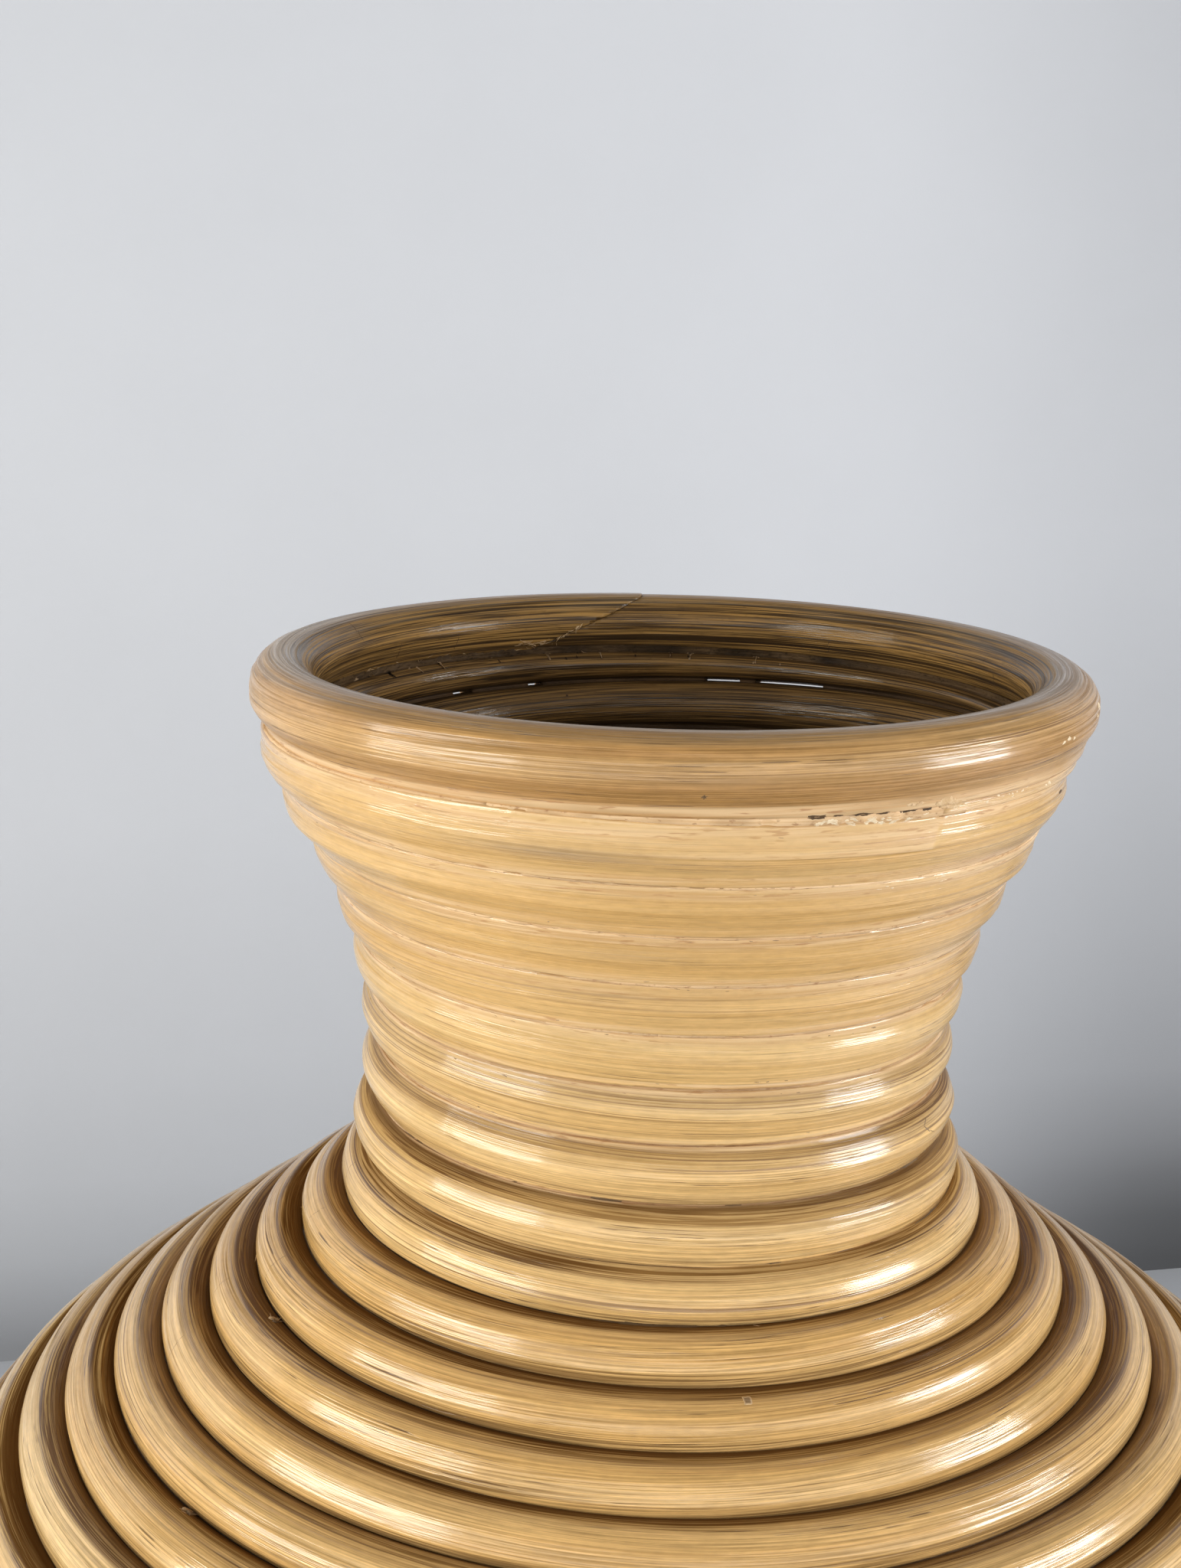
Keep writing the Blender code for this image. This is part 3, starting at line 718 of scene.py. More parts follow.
    # filled and sanded seams: a little pinker, with specks and torn fibre
    fill_col = g.mix(g.ramp(g.mad(g.math("SUBTRACT", fine, 0.5), 0.5, grain), 0.42, 0.62), (0.80, 0.575, 0.335), (0.66, 0.415, 0.20))
    speck = g.noise(g.scaled(rat, 130, 1300, 1300, (5, 5, 5)), detail=2.0)
    fill_col = g.mix(g.mul(g.ramp(speck, 0.60, 0.70), 0.7), fill_col, (0.40, 0.185, 0.085))
    col = g.mix(g.mul(g.ramp(putty, 0.25, 0.95), g.mad(g.ramp(spots, 0.35, 0.60), 0.50, 0.25)), col, fill_col)
    # grey rubbed marks
    rub = g.mul(mark, g.ramp(g.mad(fine, 0.4, band), 0.45, 0.95, 0.30, 1.2), clamp=True)
    col = g.mix(rub, col, (0.26, 0.20, 0.145))
    # the inside of the vase: unsanded, with strong dark fibres, and darker, partly as painted shade inside the mouth
    inn = g.ramp(g.mad(g.math("SUBTRACT", grain, 0.5), 0.5, out), -0.02 if top_free else 0.10, -0.52 if top_free else -0.42)
    dark = g.mix(g.ramp(band, 0.34, 0.66), tint(inside, 1.15), tint(inside, 0.72, 0.68, 0.62))
    dark = g.mix(g.mul(g.ramp(grain, 0.48, 0.66), 0.75), dark, (0.085, 0.047, 0.019))
    dark = g.mix(g.mul(g.ramp(grain, 0.46, 0.32), 0.50), dark, tint(inside, 1.6, 1.6, 1.6))
    dark = g.mix(g.mul(g.ramp(fine, 0.50, 0.62), 0.88), dark, (0.045, 0.024, 0.010))
    dark = g.mix(g.mul(g.ramp(fine, 0.47, 0.36), 0.55), dark, tint(inside, 1.8, 1.75, 1.65))
    dark = g.mix(g.mul(g.ramp(mottle, 0.56, 0.70), 0.22), dark, (0.060, 0.034, 0.016))
    dark = g.mix(g.mul(g.ramp(lines, 0.57, 0.62), 0.90, clamp=True), dark, (0.030, 0.017, 0.009))
    # painted shade: near black where the inside turns meet
    crease = g.ramp(g.mad(g.math("SUBTRACT", grain, 0.5), 0.25, g.mul(up, -1.0) if top_free else g.math("ABSOLUTE", up)), 0.66, 0.94)
    dark = g.mix(g.mul(crease, 0.9), dark, (0.020, 0.011, 0.006))
    col = g.mix(inn, col, dark)
    # pale grey dust on the upward faces, partly a painted sheen on the rim's top
    if dust_and_sheen:
        dust_and_sheen_mask = g.mul(g.ramp(g.mad(g.math("SUBTRACT", grain, 0.5), 1.2, g.mad(g.math("SUBTRACT", spots, 0.5), 1.6, up)),
                            0.55, 1.10), dust_and_sheen)
        col = g.mix(dust_and_sheen_mask, col, (0.345, 0.275, 0.190))
    nt.links.new(col, shader.inputs["Base Color"])

    ro = g.mad(g.math("SUBTRACT", band, 0.5), 0.42, rough)
    ro = g.mad(g.math("SUBTRACT", fine, 0.5), 0.30, ro)
    ro = g.mad(raw, 0.03, ro)
    ro = g.mad(inn, 0.02, ro)
    ro = g.mad(rub, 0.22, ro, clamp=True)
    nt.links.new(ro, shader.inputs["Roughness"])
    shader.inputs["IOR"].default_value = 1.5
    glossy = g.mad(g.ramp(fine, 0.34, 0.66, -0.55, 0.55, "LINEAR"), 1.0,
                   g.mad(g.ramp(grain, 0.34, 0.66, -0.40, 0.40, "LINEAR"), 1.0, 1.0))
    dull = g.mad(g.mul(g.ramp(up, 0.24, 0.62), stain_and_shade_amount), -0.92, 1.0)
    dull = g.mul(dull, g.mad(inn, -0.48, 1.0))
    nt.links.new(g.mul(g.mul(glossy, coat), dull, clamp=True), shader.inputs["Coat Weight"])
    nt.links.new(g.mul(g.mad(glossy, 0.14, 0.04), dull, clamp=True), shader.inputs["Specular IOR Level"])
    shader.inputs["Coat Roughness"].default_value = 0.115
    shader.inputs["Coat IOR"].default_value = 1.68

    height = g.mul(band, 0.8)
    height = g.mad(grain, 0.90, height)
    height = g.mad(fine, 0.85, height)
    height = g.mad(mottle, 0.30, height)
    height = g.mad(thin, -0.35, height)
    height = g.mad(d, -0.5, height)
    height = g.mad(score, -0.6, height)
    patch = g.noise(g.scaled(rat, 420, 1500, 1500, (6, 1, 1)), detail=2.0)
    rugged = g.math("MAXIMUM", g.ramp(spots, 0.5, 0.72), g.ramp(putty, 0.3, 1.0))
    height = g.mad(g.mul(patch, rugged), 0.40, height)
    bump = g.node("ShaderNodeBump", Strength=1.0, Distance=0.00016, Height=height)
    nt.links.new(bump.outputs[0], shader.inputs["Normal"])
    nt.links.new(bump.outputs[0], shader.inputs["Coat Normal"])
    return mat


def filler(name, dark_a, dark_b, pale_a, pale_b, speck):
    """Glue and filler; the mark attribute goes from deep and dark to flush
    and pale. The dark end is partly painted shade of deep grooves and holes."""
    mat, nt, shader = tree_of(name)
    g = Net(nt)
    rat = g.attr("rat").outputs["Vector"]
    flush = g.attr("mark").outputs["Fac"]
    big = g.noise(g.scaled(rat, 40, 260, 260), detail=2.0)
    grit = g.noise(g.scaled(rat, 420, 900, 900, (3, 1, 2)), detail=3.0, rough=0.65)
    line = g.noise(g.scaled(rat, 16, 1300, 1300, (8, 1, 2)), detail=2.0)
    dark = g.mix(g.ramp(big, 0.35, 0.7), dark_a, dark_b)
    pale = g.mix(g.ramp(line, 0.35, 0.66), pale_a, pale_b)
    pale = g.mix(g.mul(g.ramp(grit, 0.56, 0.68), 0.65), pale, speck)
    col = g.mix(flush, dark, pale)
    nt.links.new(col, shader.inputs["Base Color"])
    ro = g.ramp(grit, 0.3, 0.7, 0.48, 0.72, "LINEAR")
    nt.links.new(ro, shader.inputs["Roughness"])
    shader.inputs["Specular IOR Level"].default_value = 0.22
    h = g.mad(line, 0.5, g.mul(grit, 0.9))
    bump = g.node("ShaderNodeBump", Strength=1.0, Distance=0.00025, Height=h)
    nt.links.new(bump.outputs[0], shader.inputs["Normal"])
    return mat


def steel(name):
    mat, nt, shader = tree_of(name)
    g = Net(nt)
    coord = g.node("ShaderNodeTexCoord").outputs["Object"]
    spots = g.noise(coord, detail=3.0, scale=900.0)
    fine = g.noise(coord, detail=2.0, scale=4200.0)
    col = g.mix(g.ramp(spots, 0.45, 0.65), (0.47, 0.46, 0.44), (0.25, 0.19, 0.145))
    nt.links.new(col, shader.inputs["Base Color"])
    nt.links.new(g.ramp(spots, 0.4, 0.7, 0.28, 0.62, "LINEAR"), shader.inputs["Roughness"])
    shader.inputs["Metallic"].default_value = 0.9
    bump = g.node("ShaderNodeBump", Strength=0.6, Distance=0.00004, Height=g.mad(fine, 0.5, spots))
    nt.links.new(bump.outputs[0], shader.inputs["Normal"])
    return mat


def plywood(name, thick):
    """Rotary-cut birch: swirling pale faces with pores, plies on the edge."""
    mat, nt, shader = tree_of(name)
    g = Net(nt)
    coord = g.node("ShaderNodeTexCoord").outputs["Object"]
    xyz = g.split(coord)
    warp = g.noise(g.scaled(coord, 3.0, 9.0, 3.0), detail=2.0)
    rings = g.math("SINE", g.mad(warp, 42.0, g.mul(xyz[1], 190.0)))
    figure = g.ramp(rings, -1.0, 1.0, 0.0, 1.0)
    pores = g.noise(g.scaled(coord, 70.0, 1500.0, 900.0), detail=2.0)
    broad = g.noise(g.scaled(coord, 4.0, 26.0, 10.0), detail=2.0)
    col = g.mix(figure, (0.66, 0.50, 0.315), (0.585, 0.42, 0.245))
    col = g.mix(g.mul(g.ramp(broad, 0.5, 0.75), 0.35), col, (0.46, 0.305, 0.165))
    col = g.mix(g.mul(g.ramp(pores, 0.60, 0.70), 0.45), col, (0.33, 0.205, 0.105))
    ply = g.math("SINE", g.mul(xyz[2], 2 * math.pi / (thick / 4.5)))
    end = g.noise(g.scaled(coord, 900.0, 900.0, 2600.0), detail=2.0)
    edge = g.mix(g.ramp(ply, -0.25, 0.25), (0.30, 0.185, 0.095), (0.60, 0.45, 0.28))
    edge = g.mix(g.mul(g.ramp(end, 0.5, 0.7), 0.5), edge, (0.22, 0.13, 0.065))
    normal = g.split(g.node("ShaderNodeTexCoord").outputs["Normal"])
    on_face = g.ramp(g.math("ABSOLUTE", normal[2]), 0.55, 0.75)
    col = g.mix(on_face, edge, col)
    nt.links.new(col, shader.inputs["Base Color"])
    nt.links.new(g.ramp(pores, 0.3, 0.7, 0.50, 0.70, "LINEAR"), shader.inputs["Roughness"])
    bump = g.node("ShaderNodeBump", Strength=0.7, Distance=0.0001, Height=g.mad(figure, 0.2, pores))
    nt.links.new(bump.outputs[0], shader.inputs["Normal"])
    return mat


M_HONEY = rattan("rattan honey", (0.735, 0.482, 0.203), (0.665, 0.412, 0.155))
M_STRAW = rattan("rattan straw", (0.760, 0.517, 0.230), (0.685, 0.442, 0.176))
M_TAN = rattan("rattan tan", (0.715, 0.458, 0.182), (0.635, 0.385, 0.135), dash=1.15)
M_RIM = rattan("rattan rim", (0.532, 0.320, 0.126), (0.418, 0.231, 0.079), dust_and_sheen=0.22, coat=0.55,
               inside=(0.280, 0.162, 0.053), dash=1.3, streak=1.0, bands=1.0, top_free=True)
M_FOOT = rattan("rattan foot", (0.660, 0.425, 0.205), (0.560, 0.340, 0.150), dash=1.2)
# its deep end is near black, partly painted shade of the open grooves
M_FILL = filler("groove filler", (0.030, 0.015, 0.007), (0.080, 0.042, 0.017), (0.60, 0.40, 0.20),
                (0.46, 0.28, 0.13), (0.26, 0.14, 0.06))
M_SEAM = filler("seam filler", (0.20, 0.105, 0.045), (0.30, 0.165, 0.075), (0.80, 0.58, 0.35),
                (0.66, 0.43, 0.225), (0.34, 0.165, 0.075))
# dark glue, near black partly as painted shade in the crease under the rim, inside
M_INNER = filler("rough glue inside", (0.012, 0.007, 0.003), (0.030, 0.017, 0.008), (0.125, 0.075, 0.034),
                 (0.062, 0.035, 0.015), (0.012, 0.007, 0.003))
M_INNER.node_tree.nodes["Principled BSDF"].inputs["Specular IOR Level"].default_value = 0.12
M_SPOT = filler("filled marks", (0.045, 0.024, 0.012), (0.090, 0.050, 0.024), (0.72, 0.53, 0.32),
                (0.60, 0.40, 0.21), (0.36, 0.20, 0.095))
M_CRUMB = filler("dry crumbs", (0.30, 0.19, 0.10), (0.40, 0.26, 0.14), (0.86, 0.74, 0.54), (0.78, 0.62, 0.41),
                 (0.62, 0.44, 0.26))
M_STEEL = steel("brad steel")
M_PLY = plywood("birch ply", 0.009)


# ------------------------------------------------------- the coil's poles
def pole_nodes(seed, t0, t1, s_of_t):
    """Growth nodes: the ones that show, and faint ones elsewhere."""
    rng = np.random.default_rng(seed + 40)
    length = float(s_of_t(t1))
    known = [(float(s_of_t(t)), 0.55) for t in NODE_TURNS if t0 < t < t1]
    q = rng.uniform(0.06, 0.30)
    while q < length - 0.03:
        if all(abs(q - k) > 0.10 for k, _ in known):
            known.append((q, rng.uniform(0.15, 0.40)))
        q += rng.uniform(0.24, 0.38)
    return sorted(known)


def flat_at(t):
    """How far the outside of a turn was sanded down."""
    return np.interp(t, [0, 1, 4, 6.5, 8.5, 10, 36], [0.10, 0.13, 0.12, 0.085, 0.05, 0.035, 0.035])


def slit_cut(t, shift, share):
    """What is missing from a pole beside the slits of daylight."""
    cut = np.zeros(len(t))
    for t0, w, depth in SLITS:
        cut += depth * share * smooth(np.abs(t - t0 - shift), w + 0.006, w * 0.55)
    return cut


def coil_shave(t, s, v, r):
    """Local shaping: the slits under the first turn, and a planed patch with
    a rounded edge."""
    cv, sv = np.cos(v)[None, :], np.sin(v)[None, :]
    r = r - slit_cut(t, 0.0, 0.65)[:, None] * np.clip(-sv, 0, 1) ** 3
    r = r - slit_cut(t, 1.0, 0.35)[:, None] * np.clip(sv, 0, 1) ** 3
    for start, high in PLANED:
        edge = start + 0.006 * (sv ** 2)
        step = smooth(t[:, None] - edge, 0.0, 0.0016) * smooth(t[:, None], start + 0.20, start + 0.05)
        r = r + high * step * np.clip(cv, 0, 1) ** 1.5
    return r


def coil_marks(t, s, v, rad):
    m = np.zeros((len(t), len(v)))
    for t0, v0, half, width, strength in SMUDGES:
        ds = (t[:, None] - t0) * TAU * 0.11 / half
        dv = (np.angle(np.exp(1j * (v[None, :] - v0))) * rad[:, None]) / width
        m += strength * np.exp(-(ds ** 2 + dv ** 2) * 1.2)
    return m


def coil_sides(t, rz, half, normal):
    """The two seams of a turn: towards what lies above and what lies below."""
    above_c, above_h = coil_rz(np.maximum(t - 1.0, T_START))
    first = t < 1.0 + T_START
    above_c = np.where(first[:, None], RIM_C, above_c)
    above_h = np.where(first, RIM_R, above_h)
    below_c, below_h = coil_rz(np.minimum(t + 1.0, T_STOP))
    last = t > T_STOP - 1.0
    below_c = np.where(last[:, None], FOOT_C, below_c)
    below_h = np.where(last, FOOT_R, below_h)
    upper = toward(rz, half, above_c, above_h, normal, seam_gap(t),
                   np.where(first, rim_level(t), seam_level(t)),
                   np.where(first, 0.00012, seam_notch(t)), slit_cut(t, 1.0, 0.35))
    lower = toward(rz, half, below_c, below_h, normal, seam_gap(t + 1), seam_level(t + 1),
                   seam_notch(t + 1), slit_cut(t, 0.0, 0.65))
    return upper, lower


POLES = []
for k in range(len(ENDS) - 1):
    t0, t1 = ENDS[k], ENDS[k + 1]
    rz_ends, _ = coil_rz(np.array([t0, t1]))
    lap0 = 0.024 / (TAU * rz_ends[0, 0]) if k else 0.0
    lap1 = 0.024 / (TAU * rz_ends[1, 0]) if k < len(ENDS) - 2 else 0.0
    t = samples_for(t0 - lap0, t1 + lap1, STEP)
    rz, half = coil_rz(t)
    phi = angle_of(t)
    line = np.stack([rz[:, 0] * np.cos(phi), rz[:, 0] * np.sin(phi), rz[:, 1]], -1)
    s = np.concatenate([[0], np.cumsum(np.linalg.norm(np.diff(line, axis=0), axis=1))])
    seed = 100 + 17 * k
    twist = (-1) ** k * (1.2 + 0.9 * ((k * 7) % 5) / 4)
    normal = wall_normal(t)
    obj = sweep("coil_length_%02d" % (k + 1), t, rz, half, coil_wide(half), normal, seed,
                flat=flat_at(t), twist=twist,
                nodes=pole_nodes(seed, t0, t1, lambda q, t=t, s=s: np.interp(q, t, s)),
                shave=coil_shave, marks=coil_marks, mat=(M_HONEY, M_STRAW, M_TAN)[k % 3],
                sides=coil_sides(t, rz, half, normal), wear_and_shade=(stain_and_shade_at(t), sanded_at(t)))
    for which, tc in (("first", t0), ("last", t1)):
        if (which == "first" and k == 0) or (which == "last" and k == len(ENDS) - 2):
            continue
        around = np.array([tc - 0.002, tc, tc + 0.002])
        c, _ = coil_rz(around)
        p3, al, ou, _u = pole_frame(around, c, wall_normal(around))
        plane = al[1] * SCARF_SLOPE + ou[1]
        plane /= np.linalg.norm(plane)
        reach = int(0.056 / STEP)
        if which == "first":
            cut_rows(obj, 0, reach, p3[1] + plane * 0.00005, -plane)
        else:
            cut_rows(obj, len(t) - 1 - reach, len(t) - 1, p3[1] - plane * 0.00005, plane)
    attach(obj, "root")
    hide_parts("coil_pole_%02d" % (k + 1))
    POLES.append((t1, obj))


def pole_at(t):
    """The length of pole that carries turn t."""
    return next(obj for end, obj in POLES if t <= end or obj is POLES[-1][1])


# ------------------------------------------------------------- the rim ring
RIM_SCARF = math.radians(107.0)
RIM_RISE = 0.44


def ring_sweep(name, centre, radius, scarf, seed, mat, lap, flat, nodes, marks, shave=None,
               stretch=None, sides=None, sanded=0.2):
    """One closed ring, its two ends meeting in a slanted scarf."""
    t_mid = scarf / TAU + 0.25
    over = lap / (TAU * centre[0])
    n = int((TAU * centre[0] + 2 * lap) / STEP)
    t = np.linspace(t_mid - over, t_mid + 1 + over, n)
    rz = np.broadcast_to(centre, (n, 2)).copy()
    rad = np.full(n, radius)
    normal = ring_normal(t)
    obj = sweep(name, t, rz, rad, rad, normal, seed, flat=flat, twist=0.9,
                nodes=nodes, marks=marks, mat=mat, shave=shave, stretch=stretch,
                sides=sides(t, rz, rad, normal) if sides else (),
                wear_and_shade=(np.zeros(n), np.full(n, sanded)))
    radial = np.array([math.cos(scarf), math.sin(scarf), 0.0])
    tangent = np.array([-math.sin(scarf), math.cos(scarf), 0.0])
    slope = -tangent + np.array([0, 0, RIM_RISE])
    plane = np.cross(radial, slope)
    plane /= np.linalg.norm(plane)
    if plane.dot(tangent) < 0:
        plane = -plane
    centre3 = place(centre, scarf)
    rows = int(2.1 * lap / STEP)
    cut_rows(obj, n - 1 - rows, n - 1, centre3 - plane * 0.00006, plane)
    cut_rows(obj, 0, rows, centre3 + plane * 0.00006, -plane)
    return obj


def rim_marks(t, s, v, rad):
    m = np.zeros((len(t), len(v)))
    phi = np.degrees(angle_of(t)) % 360
    for a0, v0, half, width, strength in (
            (224, 1.05, 7.0, 0.0035, 0.55), (232, 0.80, 5.0, 0.0024, 0.45), (262, 0.10, 8.0, 0.0018, 0.25),
            (275, -0.05, 9.0, 0.0014, 0.30), (150, 1.50, 14.0, 0.0030, 0.35), (165, 1.55, 9.0, 0.0026, 0.40),
            (30, 1.40, 12.0, 0.0030, 0.40), (12, 1.15, 8.0, 0.0030, 0.35), (300, 0.25, 10.0, 0.0012, 0.30)):
        da = (np.degrees(np.angle(np.exp(1j * np.radians(phi[:, None] - a0))))) / half
        dv = (np.angle(np.exp(1j * (v[None, :] - v0))) * rad[:, None]) / width
        m += strength * np.exp(-(da ** 2 + dv ** 2))
    return m


def rim_shave(t, s, v, r):
    """One end at the scarf is a little thicker than the other."""
    t_mid = RIM_SCARF / TAU + 0.25
    first = smooth(t - t_mid, 0.10, 0.0)[:, None]
    last = smooth(t - t_mid - 1, -0.10, 0.0)[:, None]
    return r + 0.00022 * first - 0.00018 * last


def under_rim(t):
    """Centre and half height of what lies under the rim, and its turn."""
    g = np.mod(t, 1.0)
    g = np.where(g < T_START, g + 1.0, g)
    c, h = coil_rz(g)
    return g, c, h


def rim_sides(t, rz, rad, normal):
    g, c, h = under_rim(t)
    return (toward(rz, rad, c, h, normal, np.full(len(t), 0.00010), rim_level(g), np.full(len(t), 0.00012)),)


rim = ring_sweep("rim", RIM_C, RIM_R, RIM_SCARF, 11, M_RIM, 0.038, 0.035,
                 [(0.105, 0.5), (0.185, 0.5), (0.355, 0.3), (0.52, 0.3), (0.655, 0.4), (0.79, 0.3)],
                 rim_marks, shave=rim_shave, sides=rim_sides, sanded=0.25)
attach(rim, "root")
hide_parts("rim_ring")


# ------------------------------------------------------------ the foot ring
def foot_flat(t, a, b):
    """Sanded flat underneath, with a soft arris."""
    floor = -FOOT_Z
    k = 0.0005
    low = np.maximum(b, floor)
    near = np.clip((b - floor) / k, -1, 1)
    return a, np.where(np.abs(b - floor) < k, floor + k * (near + 1) ** 2 / 4, low)


foot = ring_sweep("foot", FOOT_C, FOOT_R, math.radians(75.0), 29, M_FOOT, 0.036, 0.03,
                  [(0.12, 0.6), (0.41, 0.7), (0.70, 0.6)], None, stretch=foot_flat)
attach(foot, "root")
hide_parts("foot_ring")


# --------------------------------------------------- glue in the grooves
def mid_line(upper, ru, lower, rl):
    """Middle between two poles, the up and out directions there, the gap."""
    span = upper - lower
    dist = np.hypot(span[:, 0], span[:, 1])
    upd = span / dist[:, None]
    gap = dist - ru - rl
    mid = lower + upd * (rl + gap / 2)[:, None]
    outd = np.stack([upd[:, 1], -upd[:, 0]], -1)
    outd *= np.where(outd[:, 0] < 0, -1.0, 1.0)[:, None]
    return mid, upd, outd, gap


def strand(name, t, mid, upd, outd, X, Y, flush, mat, seed):
    """A long thin piece whose section is X outwards and Y upwards."""
    n, nv = X.shape
    phi = angle_of(t)
    rz = mid[:, None, :] + X[:, :, None] * outd[:, None, :] + Y[:, :, None] * upd[:, None, :]
    pos = place(rz, phi[:, None])
    obj = add_mesh(name, pos.reshape(-1, 3), [tube_faces(n, nv)] + end_caps(n, nv))
    s = np.concatenate([[0], np.cumsum(np.linalg.norm(np.diff(place(mid, phi), axis=0), axis=1))])
    c = np.zeros((n, nv, 3))
    c[..., 0] = s[:, None] + seed * 1.7
    c[..., 1] = X
    c[..., 2] = Y
    put_vector(obj, "rat", c.reshape(-1, 3))
    put_float(obj, "mark", np.broadcast_to(np.clip(flush, 0, 1).reshape(n, -1), (n, nv)).ravel())
    obj.data.materials.append(mat)
    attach(obj, "root")
    return obj


def arc_length(t, rz):
    phi = angle_of(t)
    return np.concatenate([[0], np.cumsum(np.linalg.norm(np.diff(place(rz, phi), axis=0), axis=1))])


def bead(name, t, upper, ru, lower, rl, a_out, a_in, flush, seed, rough=0.0, mat=None):
    """Fills the groove between two neighbours, from a_in inside the wall's
    middle to a_out outside it.  upper and lower are (radius, height)."""
    n = len(t)
    mid, upd, outd, gap = mid_line(upper, ru, lower, rl)
    s = arc_length(t, mid)
    wu = np.where(ru < POLE_R, coil_wide(ru), ru)
    wl = np.where(rl < POLE_R, coil_wide(rl), rl)

    def edge(x, r, w):
        x = np.clip(np.abs(x), 0, w * 0.97)
        return r - r * np.sqrt(1 - (x / w) ** 2) + gap / 2 + 0.00012 + 0.00028 * (x / w) ** 2

    flush = np.broadcast_to(flush, (n,))
    m_out = 0.0009 * (1 - 0.75 * flush)
    xo, xi = np.broadcast_to(a_out, (n,)), -np.broadcast_to(a_in, (n,))
    hu = [edge(xo * f, ru, wu) for f in (1.0, 0.72, 0.40)]
    hl = [edge(xo * f, rl, wl) for f in (1.0, 0.72, 0.40)]
    iu = [edge(xi * f, ru, wu) for f in (0.5, 1.0)]
    il = [edge(xi * f, rl, wl) for f in (0.5, 1.0)]
    ji = 0.0006 * lattice(s / 0.004, seed + 5) * (1 - flush)
    ring = [
        (xo, -hl[0]), (xo - m_out * 0.75 + ji * 0.5, -hl[0] * 0.5), (xo - m_out + ji, 0 * xo),
        (xo - m_out * 0.75 + ji * 0.5, hu[0] * 0.5), (xo, hu[0]), (xo * 0.72, hu[1]), (xo * 0.40, hu[2]),
        (0 * xo, gap / 2 + 0.00012), (xi * 0.5, iu[0]), (xi, iu[1]),
        (xi + 0.0004, 0.5 * iu[1]), (xi + 0.0006, 0 * xi), (xi + 0.0004, -0.5 * il[1]),
        (xi, -il[1]), (xi * 0.5, -il[0]), (0 * xo, -gap / 2 - 0.00012), (xo * 0.40, -hl[2]), (xo * 0.72, -hl[1]),
    ]
    X = np.stack([r[0] for r in ring], 1)
    Y = np.stack([r[1] for r in ring], 1)
    amp = np.broadcast_to(rough, (n,))
    for j in (1, 2, 3, 10, 11, 12):
        X[:, j] += amp * (0.7 * lattice(s / 0.0021 + 13 * j, seed + j)
                          + 0.5 * lattice(s / 0.006 + 7 * j, seed + 20 + j))
    tone = np.repeat(np.broadcast_to(flush, (n,)).astype(float)[:, None], len(ring), axis=1)
    if mat is None:
        tone[:, 8:15] *= 0.15          # painted shade: dark where it shows inside
    return strand(name, t, mid, upd, outd, X, Y, tone, mat or M_FILL, seed)


def seam(name, t, upper, ru, lower, rl, level, recess, flush, seed, wide=0.00045):
    """A thin fillet of filler in a seam that was filled and sanded."""
    n = len(t)
    mid, upd, outd, gap = mid_line(upper, ru, lower, rl)
    s = arc_length(t, mid)
    w = np.maximum(gap, 0.0001) / 2 + wide
    top = level - recess(s)
    left = 0.00010 * lattice(s / 0.0030, seed + 1) + 0.00006 * lattice(s / 0.0011, seed + 2)
    right = 0.00010 * lattice(s / 0.0027, seed + 3) + 0.00006 * lattice(s / 0.0012, seed + 4)
    mid_h = 0.00008 * lattice(s / 0.0016, seed + 6)
    deep = top - 0.0030
    ring = [(top - 0.0005, -w), (top + left, -w * 0.55), (top + mid_h, 0 * w), (top + right, w * 0.55),
            (top - 0.0005, w), (deep, w * 0.9), (deep, -w * 0.9)]
    X = np.stack([r[0] for r in ring], 1)
    Y = np.stack([r[1] for r in ring], 1)
    return strand(name, t, mid, upd, outd, X, Y, flush, M_SEAM, seed)


def fill_depth(t):
    """How far out the deep glue comes and how flush it looks, by turn."""
    t = np.asarray(t, float)
    base = seam_level(t) - np.interp(t, [0, 7.0, 8.2, 40], [0.0013, 0.0010, 0.0, 0.0])
    base = base + 0.0005 * lattice(t * 11.0, 5) + 0.0003 * lattice(t * 47.0, 6)
    flush = np.interp(t, [0, 6, 9, 40], [0.35, 0.30, 0.06, 0.04])
    flush = flush + 0.08 * lattice(t * 17.0, 7) + 0.06 * lattice(t * 90.0, 8)
    return np.clip(base, 0.0012, 0.0075), np.clip(flush, 0, 1)


def seam_recess(g, seed):
    """Depth of the filler below the seam's level."""
    f = smooth(front_share(g), 0.55, 0.95)

    def depth(s):
        base = np.interp(g, [0, 2.5, 4.0, 5.5, 7.0, 9.0], [0.02, 0.05, 0.14, 0.30, 0.55, 0.8])
        base = base + 0.16 * (1 - f)
        wander = 0.16 * lattice(s / 0.017, seed + 31) + 0.12 * lattice(s / 0.005, seed + 32)
        pit = smooth(lattice(s / 0.011, seed + 33) + 0.5 * lattice(s / 0.0031, seed + 34), 0.62, 0.85)
        crease = smooth(g, 1.02, 1.05) * smooth(g, 1.17, 1.13)
        pit = pit * (0.45 + 0.25 * crease) + crease * 0.10
        return (base + wander + pit) * 0.001

    return depth


